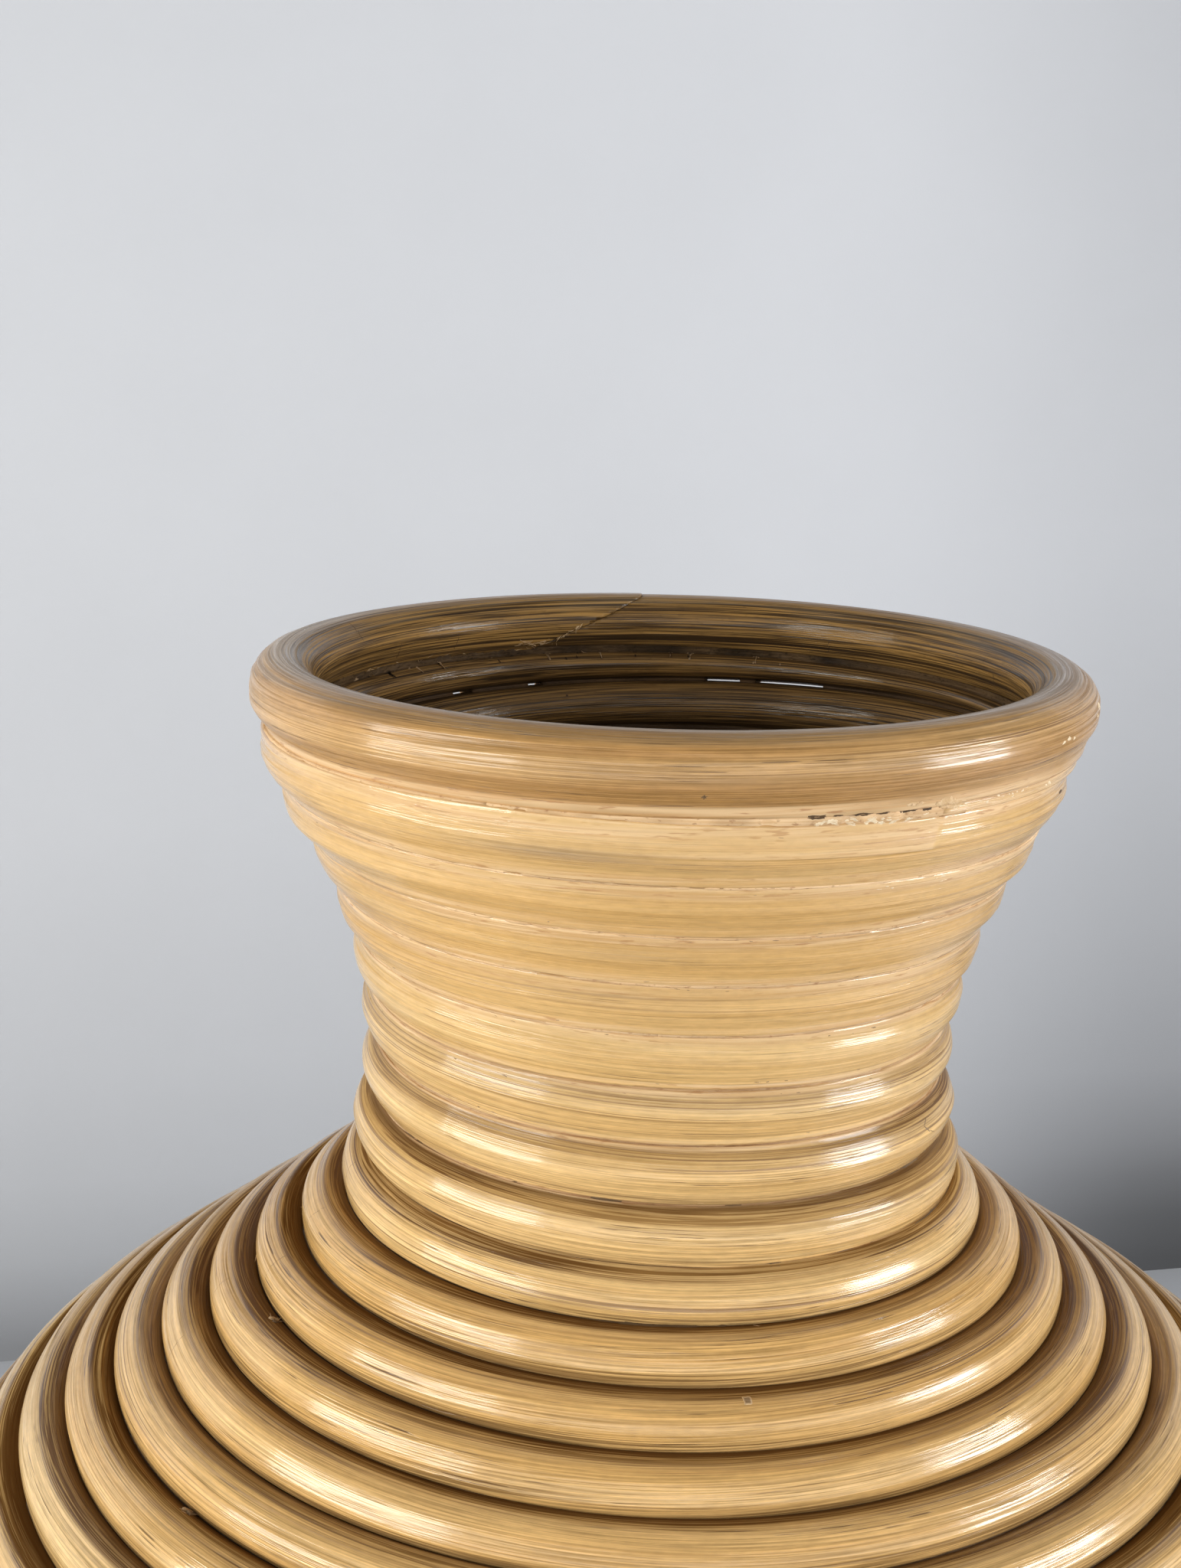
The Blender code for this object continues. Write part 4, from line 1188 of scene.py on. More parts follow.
BEAD_STEP = 0.0028
T_SEAM_END = 8.3
segments, prev = [], 1.0 + T_START
for a, b in sorted((t0 + 1 - w, t0 + 1 + w) for t0, w, _ in SLITS):
    if a - prev > 0.004:
        segments.append((prev, a))
    prev = max(prev, b)
for stop in (5.0, T_SEAM_END, 12.5, 16.0, 19.0, 22.0, 25.5, 29.5, T_STOP):
    segments.append((prev, stop))
    prev = stop
for i, (a, b) in enumerate(segments):
    t = samples_for(a, b, BEAD_STEP)
    up_c, up_r = coil_rz(t - 1.0)
    lo_c, lo_r = coil_rz(t)
    a_out, flush = fill_depth(t)
    small = np.minimum(coil_wide(up_r), coil_wide(lo_r))
    a_out = np.minimum(a_out, small * 0.80)
    a_in = np.minimum(0.0034 + 0.0006 * lattice(t * 23, 9), small * 0.70)
    bead("groove_filler_%02d" % (i + 1), t, up_c, up_r, lo_c, lo_r, a_out, a_in, flush, 300 + i,
         rough=0.00010 + 0.00022 * (t < 8))
    if b <= T_SEAM_END:
        tone = np.interp(t, [0, 3, 5, 6.5, 9], [0.92, 0.85, 0.65, 0.35, 0.2])
        tone = tone + 0.22 * lattice(t * 31.0, 41) + 0.15 * lattice(t * 120.0, 42)
        step = samples_for(a, b, 0.0014)
        tone = np.interp(step, t, tone)
        u2, ur2 = coil_rz(step - 1.0)
        l2, lr2 = coil_rz(step)
        seam("seam_filler_%02d" % (i + 1), step, u2, ur2, l2, lr2, seam_level(step),
             seam_recess(step, 500 + i), tone, 500 + i)

# under the rim: straight onto the coil first, then onto its shaved start
t = np.linspace(-0.06, T_START + 0.012, 150)
n = len(t)
lo_c, lo_r = coil_rz(t + 1.0)
rim_c, rim_r = np.broadcast_to(RIM_C, (n, 2)), np.full(n, RIM_R)
bead("rim_filler_01", t, rim_c, rim_r, lo_c, lo_r, 0.0068, 0.004, 0.3, 401, rough=0.0002)
RIM_SEAM = seam("seam_filler_rim_01", t, rim_c, rim_r, lo_c, lo_r, rim_level(t + 1.0), seam_recess(t + 1.0, 611),
     0.85 + 0.2 * lattice(t * 160, 4), 611, wide=0.00035)
t = samples_for(T_START, 0.94, 0.0016)
n = len(t)
lo_c, lo_r = coil_rz(t)
rim_c, rim_r = np.broadcast_to(RIM_C, (n, 2)), np.full(n, RIM_R)
a_out = np.minimum(rim_level(t) - 0.0013, coil_wide(lo_r) * 0.80)
INNER = bead("rim_filler_02", t, rim_c, rim_r, lo_c, lo_r, a_out, np.minimum(0.0056, coil_wide(lo_r) * 0.86),
     np.clip(0.45 + 0.5 * lattice(t * 60, 33) + 0.4 * smooth(t, 0.42, 0.36), 0, 1), 402,
     rough=0.0003 + 0.0009 * (smooth(t, 0.40, 0.44) * smooth(t, 0.80, 0.72)), mat=M_INNER)
seam("seam_filler_rim_02", t, rim_c, rim_r, lo_c, lo_r, rim_level(t), seam_recess(t + 1.0, 613),
     0.80 + 0.25 * lattice(t * 70, 35), 613, wide=0.00035)
# over the foot ring
t = samples_for(T_LAST, T_STOP, BEAD_STEP)
n = len(t)
up_c, up_r = coil_rz(t)
bead("foot_filler", t, up_c, up_r, np.broadcast_to(FOOT_C, (n, 2)), np.full(n, FOOT_R),
     np.minimum(0.0026, up_r * 0.7), np.minimum(0.003, up_r * 0.7), 0.1, 403)

# ------------------------------------- small marks, fillings and loose fibres
SKINS = {}


def skin(obj):
    """Search tree over a piece's faces."""
    if obj.name not in SKINS:
        SKINS[obj.name] = BVHTree.FromObject(obj, bpy.context.evaluated_depsgraph_get())
    return SKINS[obj.name]


class Place:
    """A point on a pole's surface, with the directions along and across."""

    def __init__(self, obj, centre, along, ray):
        self.tree = skin(obj)
        ray = Vector(ray).normalized()
        hit = self.tree.ray_cast(Vector(centre), ray, 0.03)[0]
        self.at = hit if hit is not None else Vector(centre) + ray * POLE_R
        self.normal = ray
        self.along = Vector(along).normalized()
        self.across = self.normal.cross(self.along)

    def point(self, x, y, lift):
        """x along, y across, lifted off the surface."""
        guess = self.at + self.along * x + self.across * y
        near, normal, _i, _d = self.tree.find_nearest(guess)
        if near is None or (near - guess).length > 0.004 + 0.6 * abs(x):
            near, normal = guess, self.normal
        if normal.dot(self.normal) < 0:
            normal = -normal
        return near + normal * lift


def on_coil(t, v):
    around = np.array([t - 0.001, t, t + 0.001])
    c, _ = coil_rz(around)
    p, al, ou, up = pole_frame(around, c, wall_normal(around))
    return Place(pole_at(t), p[1], al[1], ou[1] * math.cos(v) + up[1] * math.sin(v))


def on_rim(phi, v):
    a = math.radians(phi)
    radial = np.array([math.cos(a), math.sin(a), 0.0])
    return Place(rim, place(RIM_C, a), (-radial[1], radial[0], 0.0),
                 radial * math.cos(v) + np.array([0, 0, math.sin(v)]))


def on_filler(t, rise):
    """On the rough filler inside, in the seam under the rim."""
    c, half = coil_rz(np.array([t]))
    middle = (RIM_C * half[0] + c[0] * RIM_R) / (half[0] + RIM_R) + np.array([0.0, rise])
    a = float(angle_of(t))
    radial = np.array([math.cos(a), math.sin(a), 0.0])
    return Place(INNER, place(middle, a), (-radial[1], radial[0], 0.0), -radial)


class Seen(Place):
    """A place on whatever shows from outside, over a seam between pieces."""

    def __init__(self, tree, centre, along, ray):
        self.tree = tree
        self.normal = Vector(ray).normalized()
        self.along = Vector(along).normalized()
        self.across = self.normal.cross(self.along)
        self.at = Vector(centre) + self.normal * 0.009

    def point(self, x, y, lift):
        guess = self.at + self.along * x + self.across * y
        hit = self.tree.ray_cast(guess + self.normal * 0.008, -self.normal, 0.03)[0]
        return (hit if hit is not None else guess) + self.normal * lift


def joined_skin(objs):
    verts, faces = [], []
    for obj in objs:
        base = len(verts)
        verts += [obj.matrix_world @ v.co for v in obj.data.vertices]
        faces += [tuple(base + k for k in f.vertices) for f in obj.data.polygons]
    return BVHTree.FromPolygons(verts, faces)


UNDER_RIM = joined_skin([rim, pole_at(1.1), RIM_SEAM, bpy.data.objects["seam_filler_rim_02"], bpy.data.objects["seam_filler_01"]])


def on_rim_seam(t, rise):
    """On the filled seam under the rim, outside, round where the first turn starts."""
    c, half = coil_rz(np.array([t]))
    middle = (RIM_C * half[0] + c[0] * RIM_R) / (half[0] + RIM_R) + np.array([0.0, rise])
    a = float(angle_of(t))
    radial = np.array([math.cos(a), math.sin(a), 0.0])
    return Seen(UNDER_RIM, place(middle, a), (-radial[1], radial[0], 0.0), radial)


class Kit:
    """Collects many small closed bodies into one piece."""

    def __init__(self):
        self.verts, self.faces, self.rat, self.tone = [], [], [], []

    def body(self, points, tones, faces, seed, size):
        base = len(self.verts)
        first = points[0]
        self.verts.extend(tuple(p) for p in points)
        self.rat.extend((seed * 0.37 + (p - first).x, (p - first).y + seed * 0.11, (p - first).z) for p in points)
        self.tone.extend(tones)
        self.faces.extend(tuple(i + base for i in f) for f in faces)

    def lens(self, where, x, y, turn, half, wide, above, below, tone, seed, rim_tone=None, square=False, rough=0.18):
        """A low body let into the surface: a filling, a chip or a crack."""
        rng = np.random.default_rng(seed)
        n = 16 if half < 0.004 else 26
        wob = 1 + rough * rng.uniform(-1, 1, n)
        ct, st = math.cos(turn), math.sin(turn)
        rings = [(0.50, above), (0.84, above * 0.72), (1.0, -0.00002), (0.90, -below)]
        points, tones = [where.point(x, y, above)], [tone]
        for k, (share, lift) in enumerate(rings):
            for i in range(n):
                a = TAU * i / n
                ca, sa = math.cos(a), math.sin(a)
                if square:
                    m = max(abs(ca), abs(sa)) ** 0.8
                    ca, sa = ca / m, sa / m
                px, py = half * share * wob[i] * ca, wide * share * wob[i] * sa
                points.append(where.point(x + px * ct - py * st, y + px * st + py * ct, lift))
                tones.append(tone if k == 0 or rim_tone is None else rim_tone)
        points.append(where.point(x, y, -below * 1.2))
        tones.append(tone)
        faces = []
        for i in range(n):
            j = (i + 1) % n
            faces.append((0, 1 + i, 1 + j))
            for k in range(len(rings) - 1):
                a, b = 1 + k * n, 1 + (k + 1) * n
                faces.append((a + i, b + i, b + j, a + j))
            faces.append((1 + (len(rings) - 1) * n + i, len(points) - 1, 1 + (len(rings) - 1) * n + j))
        self.body(points, tones, faces, seed, half)

    def fibre(self, where, x, y, turn, length, lift, curl, radius, tone, seed):
        """A thin fibre that comes loose from the surface."""
        n, m = 10, 6
        ct, st = math.cos(turn), math.sin(turn)
        line = []
        for i in range(n):
            u = i / (n - 1)
            px = length * u
            py = curl * length * u * u
            line.append(where.point(x + px * ct - py * st, y + px * st + py * ct, 0.0)
                        + where.normal * (lift * length * u ** 1.7 - 0.00010))
        points, tones = [], []
        for i, c in enumerate(line):
            d = (line[min(i + 1, n - 1)] - line[max(i - 1, 0)]).normalized()
            e = d.cross(where.normal).normalized()
            f = e.cross(d)
            r = radius * (1 - 0.75 * (i / (n - 1)) ** 2)
            for j in range(m):
                a = TAU * j / m
                points.append(c + e * (r * math.cos(a)) + f * (r * math.sin(a)))
                tones.append(tone)
        faces = [tuple(range(m - 1, -1, -1)), tuple((n - 1) * m + j for j in range(m))]
        for i in range(n - 1):
            for j in range(m):
                k = (j + 1) % m
                faces.append((i * m + j, i * m + k, (i + 1) * m + k, (i + 1) * m + j))
        self.body(points, tones, faces, seed, radius)

    def finish(self, name, mat):
        mesh = bpy.data.meshes.new(name)
        mesh.from_pydata(self.verts, [], self.faces)
        mesh.update()
        bm = bmesh.new()
        bm.from_mesh(mesh)
        bmesh.ops.recalc_face_normals(bm, faces=bm.faces)
        bm.to_mesh(mesh)
        bm.free()
        mesh.polygons.foreach_set("use_smooth", [True] * len(mesh.polygons))
        obj = bpy.data.objects.new(name, mesh)
        scene.collection.objects.link(obj)
        put_vector(obj, "rat", np.array(self.rat))
        put_float(obj, "mark", np.array(self.tone))
        mesh.materials.append(mat)
        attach(obj, "root")
        return obj


# filled pin holes: one that shows as a small square, and one over every brad
pins = Kit()
pins.lens(on_coil(11.037, 0.36), 0, 0, 0.05, 0.00140, 0.00170, 0.00006, 0.0006, 0.30, 1, rim_tone=0.85, square=True, rough=0.10)
for i, (name, node) in enumerate(sorted(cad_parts.items())):
    if "brad" not in name or name.startswith("board"):
        continue
    corners = [node.matrix_world @ v.co for v in node.data.vertices]
    head = max(corners, key=lambda p: math.hypot(p.x, p.y))
    if name.startswith("rim"):
        spot = on_rim(math.degrees(math.atan2(head.y, head.x)), math.asin(max(-0.9, min(0.9, (head.z - RIM_C[1]) / RIM_R))))
    else:
        phi = math.atan2(head.y, head.x)
        turns = np.arange(T_START, T_LAST, 0.002)
        c, _ = coil_rz(turns)
        pts = place(c, angle_of(turns))
        t_near = float(turns[np.argmin(((pts - np.array(head)) ** 2).sum(1))])
        around = np.array([t_near - 0.001, t_near, t_near + 0.001])
        c3, _ = coil_rz(around)
        p3, al3, ou3, up3 = pole_frame(around, c3, wall_normal(around))
        off = np.array(head) - p3[1]
        spot = on_coil(t_near, math.atan2(float(off @ up3[1]), float(off @ ou3[1])))
    rng = np.random.default_rng(700 + i)
    pins.lens(spot, 0, 0, rng.uniform(0, 3), rng.uniform(0.0010, 0.0013), rng.uniform(0.0009, 0.0012), 0.00005,
              0.0005, rng.uniform(0.15, 0.45), 710 + i, rim_tone=rng.uniform(0.6, 0.9))
pins.finish("pin_fillings", M_SPOT)

# holes and crease marks as dark patches of painted shade, cracks and brown specks
marks = Kit()
# dark patches of painted shade: a hole inside and marks along the crease under the rim
marks.lens(on_coil(1.555, 2.93), 0, 0, 0, 0.0006, 0.0005, 0.00003, 0.0005, 0.0, 2)
for t0, rise, half, wide in ((1.0500, 0.0000, 0.0032, 0.00070), (1.0575, 0.0002, 0.0017, 0.00035), (1.0665, 0.0001, 0.0036, 0.00055),
                             (1.0745, 0.0000, 0.0022, 0.00045), (1.0840, 0.0000, 0.0030, 0.00050), (1.0925, -0.0001, 0.0019, 0.00055)):
    marks.lens(on_rim_seam(t0, rise), 0, 0, 0.02, half, wide, 0.00006, 0.0006, 0.05, int(t0 * 1000), rough=0.3)
marks.lens(on_coil(1.1950, 0.78), 0, 0, 0.03, 0.0026, 0.00045, 0.00004, 0.0006, 0.04, 1195)
# black patches on the glue under the rim, inside: painted shade standing in for holes
hole_shade_patches = Kit()
for t0 in (0.690, 0.676, 0.661, 0.652, 0.645, 0.630, 0.621, 0.612, 0.598, 0.592, 0.585, 0.571, 0.566, 0.560, 0.555, 0.549,
           0.543, 0.536, 0.527, 0.518, 0.509, 0.50, 0.49, 0.48):
    rng = np.random.default_rng(int(t0 * 1000))
    spot = on_filler(t0, rng.uniform(-0.0006, 0.0006))
    hole_shade_patches.lens(spot, 0, 0, rng.uniform(-0.2, 0.2), rng.uniform(0.0010, 0.0034), rng.uniform(0.0005, 0.0011), 0.00008, 0.0005,
               0.0, 20 + int(t0 * 1000), rough=0.35)
hole_shade_patches.finish("crease_hole_shade", M_INNER)
for t0, v_lo, v_hi in ((8.797, -0.75, 0.55), (9.805, -0.80, 0.35), (10.816, -0.60, 0.60), (12.814, -0.90, 0.10), (11.80, -0.5, 0.3),
                       (21.2, -0.6, 0.6), (26.7, -0.5, 0.7), (30.35, -0.7, 0.4)):
    rng = np.random.default_rng(int(t0 * 100))
    v = v_lo
    while v < v_hi:
        spot = on_coil(t0 + rng.uniform(-0.0003, 0.0003), v)
        marks.lens(spot, 0, 0, 1.57 + rng.uniform(-0.25, 0.25), rng.uniform(0.0006, 0.0014), 0.00009, 0.00003, 0.0002,
                   rng.uniform(0.1, 0.3), int(1000 * t0 + 100 * v) % 9973)
        v += rng.uniform(0.10, 0.24)
for phi, v_lo, v_hi in ((146.8, -3.10, -2.55), (132.8, -3.12, -2.62), (60.0, -3.0, -2.6), (18.0, -3.1, -2.7), (158.0, 2.1, 2.7)):
    rng = np.random.default_rng(int(phi * 10))
    v = v_lo
    while v < v_hi:
        marks.lens(on_rim(phi + rng.uniform(-0.25, 0.25), v), 0, 0, 1.57 + rng.uniform(-0.5, 0.5), rng.uniform(0.0006, 0.0015),
                   0.00012, 0.00003, 0.0002, 0.0, int(10 * phi + 100 * abs(v)))
        v += rng.uniform(0.06, 0.15)
# the arrow-shaped scar of a growth node, a star-shaped speck, two open cracks
marks.lens(on_coil(7.165, 0.26), 0.0016, 0.0011, 0.62, 0.0021, 0.00026, 0.00004, 0.0002, 0.22, 31)
marks.lens(on_coil(7.165, 0.26), 0.0018, -0.0013, -0.66, 0.0024, 0.00024, 0.00004, 0.0002, 0.28, 32)
marks.lens(on_coil(7.165, 0.26), 0.0052, -0.0030, -0.45, 0.0018, 0.00020, 0.00003, 0.0002, 0.32, 33)
for k, a in enumerate((0.3, 1.4, 2.5)):
    marks.lens(on_rim(274.0, -0.50), 0, 0, a, 0.0009, 0.00028, 0.00003, 0.0003, 0.18, 34 + k, rough=0.4)
for k, (t0, v0) in enumerate(((2.018, 1.02), (2.026, 1.06), (2.061, 1.00), (1.962, 1.05), (4.93, 0.95), (3.05, 1.0))):
    marks.lens(on_coil(t0, v0), 0, 0, 0.1, 0.0006, 0.0004, 0.00003, 0.0003, 0.28, 40 + k, rough=0.4)
# reddish specks along the filled seams
for k in range(170):
    rng = np.random.default_rng(9000 + k)
    t0 = rng.uniform(1.0, 6.6)
    f = float(front_share(t0))
    if rng.uniform() > 0.15 + 0.85 * f:
        continue
    above = rng.uniform() < 0.5
    v0 = (0.82 if above else -0.80) + rng.normal() * 0.035
    marks.lens(on_coil(t0, v0), 0, 0, rng.uniform(-0.3, 0.3), rng.uniform(0.0003, 0.0011), rng.uniform(0.00010, 0.00026),
               0.00002, 0.0002, rng.uniform(0.15, 0.45), 9200 + k, rough=0.4)
marks.finish("cracks_and_specks", M_SPOT)

# pale crumbs of filler and chips
crumbs = Kit()
for k in range(46):
    rng = np.random.default_rng(1200 + k)
    if k < 26:
        where = on_rim_seam(rng.uniform(1.049, 1.094), rng.uniform(-0.0032, -0.0013))
        half, wide = rng.uniform(0.0005, 0.0017), rng.uniform(0.00025, 0.00060)
    elif k < 40:
        where = on_rim_seam(rng.uniform(1.112, 1.165), rng.uniform(-0.0012, 0.0006))
        half, wide = rng.uniform(0.0004, 0.0011), rng.uniform(0.00020, 0.00045)
    else:
        where = on_coil(rng.uniform(2.08, 2.12), 0.80 + rng.normal() * 0.03)
        half, wide = rng.uniform(0.0005, 0.0014), rng.uniform(0.00020, 0.00040)
    crumbs.lens(where, 0, 0, rng.uniform(-0.4, 0.4), half, wide, rng.uniform(0.00004, 0.00010), 0.0003,
                rng.uniform(0.80, 1.0), 1300 + k, rough=0.4)
# rough glue and splinters in the crease under the rim, inside
for k in range(40):
    rng = np.random.default_rng(1500 + k)
    crumbs.lens(on_filler(rng.uniform(0.44, 0.70), rng.uniform(-0.0014, 0.0014)), 0, 0, rng.uniform(-0.5, 0.5),
                rng.uniform(0.0005, 0.0017), rng.uniform(0.00025, 0.00060), rng.uniform(0.00015, 0.00050), 0.0004,
                rng.uniform(0.0, 0.12), 1540 + k, rough=0.4)
for k, (phi, v0, half, wide) in enumerate(((327.0, -0.02, 0.0010, 0.0005), (328.6, 0.03, 0.0013, 0.0006), (330.4, -0.03, 0.0008, 0.0006),
                                           (345.2, 0.34, 0.0024, 0.0008), (346.6, 0.20, 0.0016, 0.0006), (343.5, 0.10, 0.0010, 0.0005))):
    crumbs.lens(on_rim(phi, v0), 0, 0, 0.1, half, wide, 0.00009, 0.0004, 1.0, 1400 + k, rough=0.4)
crumbs.finish("filler_crumbs", M_CRUMB)
# filler smeared over the blunt start of the first turn
smears = Kit()
for k, (t0, rise, half, wide) in enumerate(((1.0995, 0.0014, 0.0040, 0.0016), (1.1045, 0.0002, 0.0052, 0.0012), (1.0860, 0.0020, 0.0034, 0.0007))):
    smears.lens(on_rim_seam(t0, rise), 0, 0, 0.04, half, wide, 0.00012, 0.0006, 0.97, 1380 + k, rough=0.16)
smears.finish("seam_smears", M_SPOT)

# plugs of glue and torn fibre in the open grooves, and loose fibres
plugs = Kit()
for k, (t0, v0) in enumerate(((11.838, 1.12), (14.872, 1.12), (17.3, 1.1), (23.9, -1.1), (28.2, 1.1))):
    rng = np.random.default_rng(1500 + k)
    for j in range(4):
        plugs.lens(on_coil(t0 + rng.uniform(-0.0012, 0.0012), v0 + rng.uniform(-0.12, 0.12)), 0, 0, rng.uniform(0, 3),
                   rng.uniform(0.0008, 0.0017), rng.uniform(0.0006, 0.0011), rng.uniform(0.0005, 0.0010), 0.0008,
                   rng.uniform(0.1, 0.8), 1510 + 10 * k + j, rough=0.4)
    for j in range(5):
        plugs.fibre(on_coil(t0, v0), rng.uniform(-0.001, 0.001), rng.uniform(-0.001, 0.001), rng.uniform(0, TAU),
                    rng.uniform(0.002, 0.0042), rng.uniform(0.2, 0.5), rng.uniform(-0.4, 0.4), 0.00016,
                    rng.uniform(0.5, 1.0), 1560 + 10 * k + j)
plugs.finish("glue_plugs", M_SPOT)

fibres = Kit()
for k, (t0, v0, length, turn) in enumerate((
        (7.021, -1.12, 0.0030, -0.9), (7.023, -1.12, 0.0022, 0.5), (9.007, 1.10, 0.0040, 2.6), (9.004, 1.12, 0.0025, 0.4),
        (8.94, 1.12, 0.0026, 0.2), (5.050, -0.70, 0.0022, -1.2), (6.03, -1.05, 0.0020, 0.8), (5.90, 1.05, 0.0030, 0.1),
        (8.21, -1.10, 0.0024, -0.5), (10.05, 1.05, 0.0026, 2.9), (12.3, 1.0, 0.0040, 0.1), (10.79, -0.9, 0.0050, 0.2),
        (9.78, -0.8, 0.0045, 0.1), (16.4, 1.0, 0.0045, 3.0), (20.6, -1.0, 0.0040, 0.2), (25.3, 1.0, 0.0045, 3.0))):
    fibres.fibre(on_coil(t0, v0), 0, 0, turn, length, 0.16, 0.25 * (-1) ** k, 0.00010, 0.95, 1700 + k)
for k in range(34):      # where the lower end of the rim's scarf is frayed
    rng = np.random.default_rng(1800 + k)
    phi = rng.uniform(110.5, 119.0)
    v0 = -2.48 - 0.035 * (phi - 113.6) * 0.4 + rng.normal() * 0.08
    fibres.fibre(on_rim(phi, v0), 0, 0, rng.choice([0.0, math.pi]) + rng.normal() * 0.35, rng.uniform(0.0015, 0.0050),
                 rng.uniform(0.02, 0.16), rng.normal() * 0.25, rng.uniform(0.00010, 0.00021), rng.uniform(0.70, 1.0), 1850 + k)
for k in range(70):      # rough edge along the scarf and in the seam below it
    rng = np.random.default_rng(1900 + k)
    if k < 46:
        u = rng.uniform(0, 1) ** 0.6
        phi, v0 = 98.0 + 15.0 * u + rng.normal() * 0.15, 1.9 + 1.85 * u - (TAU if 1.9 + 1.85 * u > math.pi else 0)
        turn = 0.8 + rng.normal() * 0.3
    else:
        phi, v0, turn = rng.uniform(112, 158), -2.30 + rng.normal() * 0.03, rng.choice([0.0, math.pi]) + rng.normal() * 0.4
    fibres.fibre(on_rim(phi, v0), 0, 0, turn, rng.uniform(0.0010, 0.0028), rng.uniform(0.05, 0.2), rng.normal() * 0.3,
                 rng.uniform(0.00009, 0.00018), rng.uniform(0.60, 1.0), 1950 + k)
fibres.finish("loose_fibres", M_SPOT)

# ------------------------------------------------- the part's own steel and board
for name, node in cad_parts.items():
    if "brad" in name:
        for slot in node.material_slots:
            slot.material = M_STEEL
    elif name == "base_board":
        for slot in node.material_slots:
            slot.material = M_PLY


# ------------------------------------------------------------------- stage
def plain(name, rgb, rough):
    mat, nt, shader = tree_of(name)
    g = Net(nt)
    coord = g.node("ShaderNodeTexCoord").outputs["Object"]
    tone = g.noise(coord, detail=3.0, scale=9.0)
    k = g.ramp(tone, 0.3, 0.7, 0.99, 1.01, "LINEAR")
    col = g.mix(1.0, rgb, g.grey(k), "MULTIPLY")
    nt.links.new(col, shader.inputs["Base Color"])
    shader.inputs["Roughness"].default_value = rough
    shader.inputs["Specular IOR Level"].default_value = 0.2
    grain = g.noise(coord, detail=2.0, scale=900.0)
    bump = g.node("ShaderNodeBump", Strength=0.15, Distance=0.0003, Height=grain)
    nt.links.new(bump.outputs[0], shader.inputs["Normal"])
    return mat, nt, shader, g, coord, col


def wall_paint():
    """Plain wall, in shade towards the floor, most of all on the right."""
    mat, nt, shader, g, coord, col = plain("pale wall", (0.50, 0.522, 0.570), 0.85)
    x, y = g.split(coord)[0], g.split(coord)[1]
    up = g.mad(y, 1 / 0.95, 2.2 / 0.95)

    def shade(stops):
        n = nt.nodes.new("ShaderNodeValToRGB")
        el = n.color_ramp.elements
        while len(el) < len(stops):
            el.new(0.5)
        for e, (pos, val) in zip(el, stops):
            e.position = pos
            e.color = (val, val, val, 1.0)
        nt.links.new(up, n.inputs["Fac"])
        return n.outputs["Color"]

    left = shade(((0.01, 0.39), (0.04, 0.52), (0.08, 0.68), (0.14, 0.82), (0.23, 0.91), (0.42, 0.985), (0.62, 1.0), (0.95, 0.975)))
    right = shade(((0.01, 0.13), (0.05, 0.17), (0.085, 0.25), (0.115, 0.35), (0.18, 0.51), (0.31, 0.63), (0.45, 0.72),
                   (0.62, 0.785), (0.97, 0.75)))
    both = g.mix(g.ramp(x, 0.10, 0.46), left, right)
    nt.links.new(g.mix(1.0, col, both, "MULTIPLY"), shader.inputs["Base Color"])
    return mat


def open_behind(mat):
    """Clear from its rear, so that the vase can be looked at from behind and
    from below."""
    nt = mat.node_tree
    shader = next(n for n in nt.nodes if n.type == "BSDF_PRINCIPLED")
    clear, mixer = nt.nodes.new("ShaderNodeBsdfTransparent"), nt.nodes.new("ShaderNodeMixShader")
    nt.links.new(nt.nodes.new("ShaderNodeNewGeometry").outputs["Backfacing"], mixer.inputs[0])
    nt.links.new(shader.outputs[0], mixer.inputs[1])
    nt.links.new(clear.outputs[0], mixer.inputs[2])
    nt.links.new(mixer.outputs[0], next(n for n in nt.nodes if n.type == "OUTPUT_MATERIAL").inputs["Surface"])
    return mat


def slab(name, size, matrix, mat, shift=0.0):
    mesh = bpy.data.meshes.new(name)
    bm = bmesh.new()
    bmesh.ops.create_grid(bm, x_segments=8, y_segments=8, size=0.5)
    for v in bm.verts:
        v.co.x *= size[0]
        v.co.y = v.co.y * size[1] + shift
    bm.to_mesh(mesh)
    bm.free()
    mesh.materials.append(mat)
    obj = bpy.data.objects.new(name, mesh)
    obj.matrix_world = matrix
    scene.collection.objects.link(obj)
    return obj


slab("floor", (9, 9), Matrix.Translation((0, 0, -0.0002)),
     open_behind(plain("pale floor", (0.50, 0.525, 0.575), 0.75)[0]))
yaw = math.atan2(0.225, 0.883)
backdrop = Matrix.Translation((-0.02, 0.795, 2.2)) @ Matrix.Rotation(yaw, 4, "Z") @ Matrix.Rotation(math.pi / 2, 4, "X")
slab("backdrop", (9, 1.30), backdrop, open_behind(wall_paint()), -1.56)


# ------------------------------------------------------------------ lights
def soft_light(name, azimuth, height, distance, width, tall, radiance, colour, aim=0.55):
    """Rectangular light at an azimuth measured from the camera's side."""
    a = math.radians(azimuth)
    pos = Vector((math.sin(a) * distance, -math.cos(a) * distance, height))
    data = bpy.data.lights.new(name, "AREA")
    data.shape = "RECTANGLE"
    data.size, data.size_y = width, tall
    data.energy = radiance * math.pi * width * tall
    data.color = colour
    obj = bpy.data.objects.new(name, data)
    obj.location = pos
    obj.rotation_euler = (Vector((0, 0, aim)) - pos).to_track_quat("-Z", "Y").to_euler()
    scene.collection.objects.link(obj)
    return obj


soft_light("window left", -60, 0.78, 2.0, 1.60, 0.95, 7.5, (1.0, 0.975, 0.892))
soft_light("window right", 80, 0.78, 2.0, 0.92, 0.90, 12.5, (1.0, 0.99, 0.97))

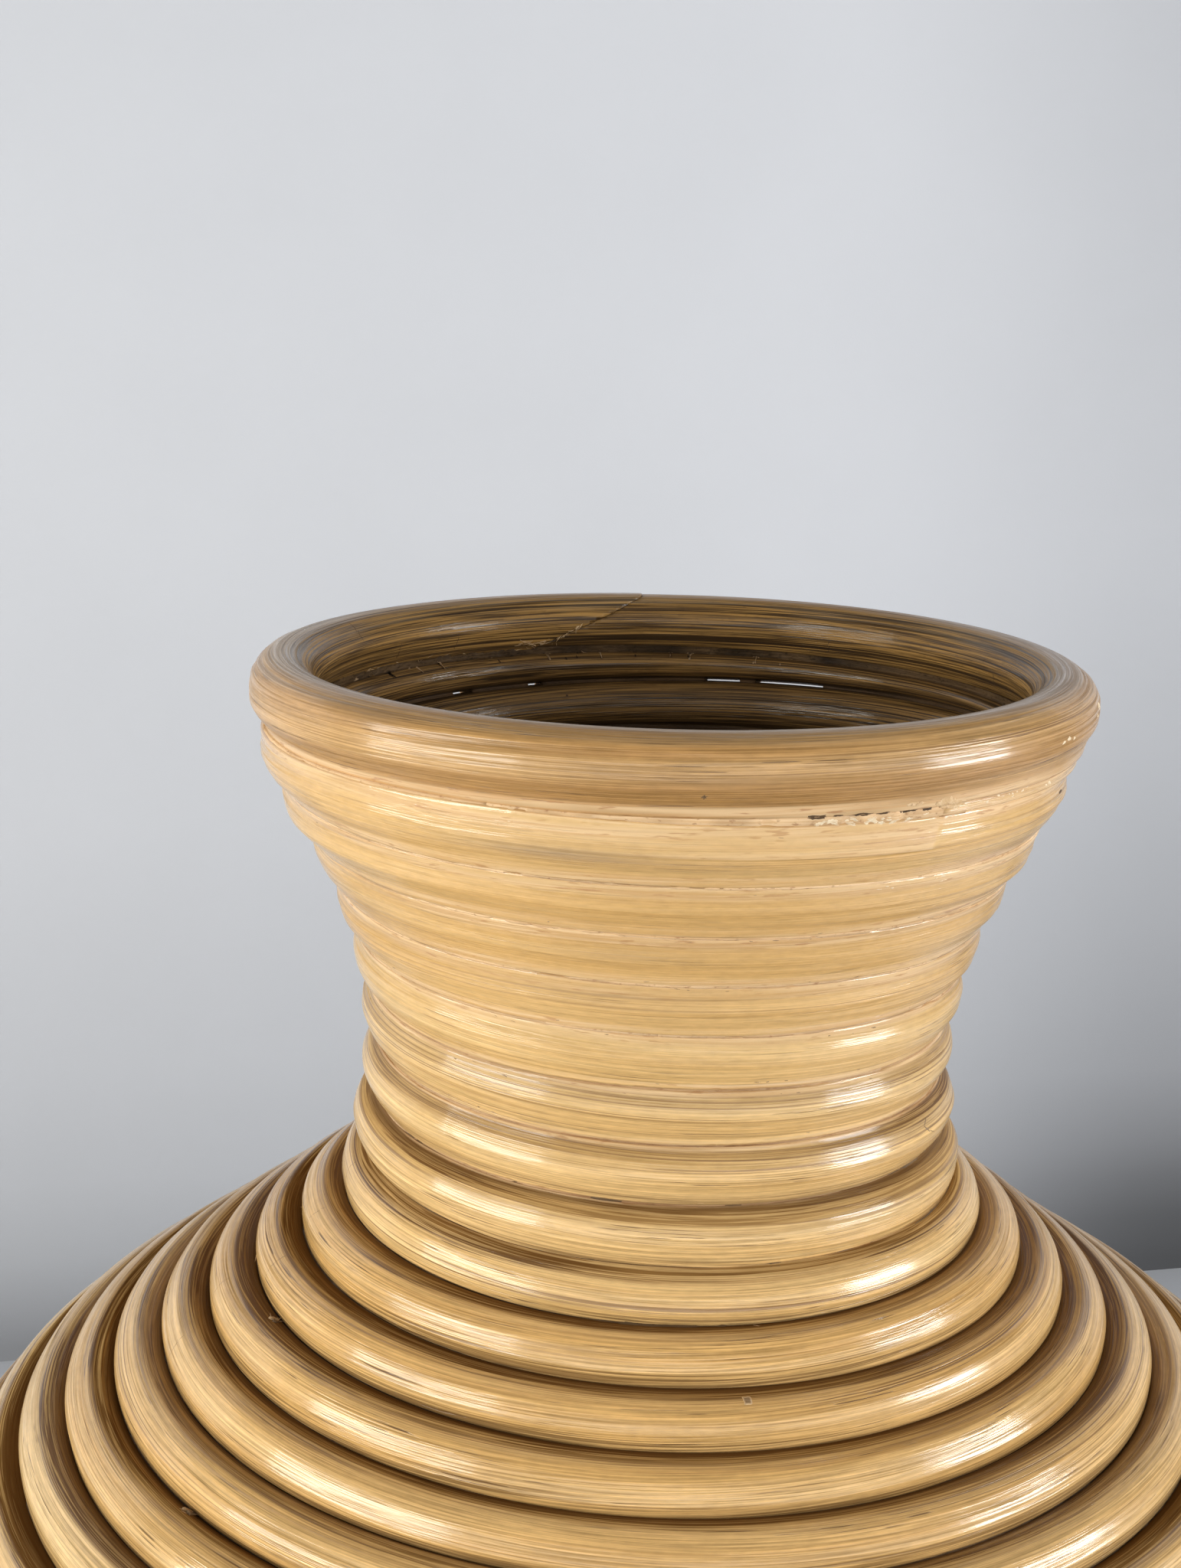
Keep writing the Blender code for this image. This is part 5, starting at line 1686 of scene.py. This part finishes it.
world = bpy.data.worlds.new("studio")
scene.world = world
world.use_nodes = True
wt = world.node_tree
g = Net(wt)
direction = g.split(g.node("ShaderNodeTexCoord").outputs["Generated"])
back = wt.nodes["Background"]
rampn = wt.nodes.new("ShaderNodeValToRGB")
wt.links.new(g.mad(direction[2], 0.5, 0.5), rampn.inputs["Fac"])
stops = ((0.0, 0.50), (0.46, 0.66), (0.54, 0.90), (0.64, 0.66), (0.78, 0.28), (1.0, 0.18))
el = rampn.color_ramp.elements
while len(el) < len(stops):
    el.new(0.5)
for e, (pos, val) in zip(el, stops):
    e.position = pos
    e.color = (val, val * 0.975, val * 0.93, 1.0)
wt.links.new(rampn.outputs["Color"], back.inputs["Color"])
front = g.mul(g.ramp(direction[1], 0.10, -0.95, 0.0, 1.0, "LINEAR"), g.ramp(direction[2], 0.62, 0.18))
behind = g.ramp(direction[1], 0.05, 0.45, 1.0, 0.42)
wt.links.new(g.mul(g.mad(front, 1.74, 0.67), behind), back.inputs["Strength"])

# ------------------------------------------------------------------ camera
PSI, TH, RHO = math.radians(-1.976), math.radians(13.2914), math.radians(1.2742)
fw = Vector((math.sin(PSI) * math.cos(TH), math.cos(PSI) * math.cos(TH), -math.sin(TH)))
rt = fw.cross(Vector((0, 0, 1))).normalized()
up = rt.cross(fw)
r2 = rt * math.cos(RHO) + up * math.sin(RHO)
u2 = -rt * math.sin(RHO) + up * math.cos(RHO)
cam_data = bpy.data.cameras.new("camera")
cam_data.sensor_fit = "VERTICAL"
cam_data.sensor_height = 36.0
cam_data.lens = 2859.6 / 2048 * 36.0
cam_data.clip_start = 0.02
cam_data.clip_end = 40
cam = bpy.data.objects.new("camera", cam_data)
cam.matrix_world = Matrix(((r2.x, u2.x, -fw.x, 0.0), (r2.y, u2.y, -fw.y, -0.72027),
                           (r2.z, u2.z, -fw.z, 0.76640), (0, 0, 0, 1)))
scene.collection.objects.link(cam)
scene.camera = cam
scene.view_settings.view_transform = "Standard"
scene.view_settings.look = "None"
scene.view_settings.exposure = 0.0
scene.view_settings.gamma = 1.0

bpy.context.view_layer.update()
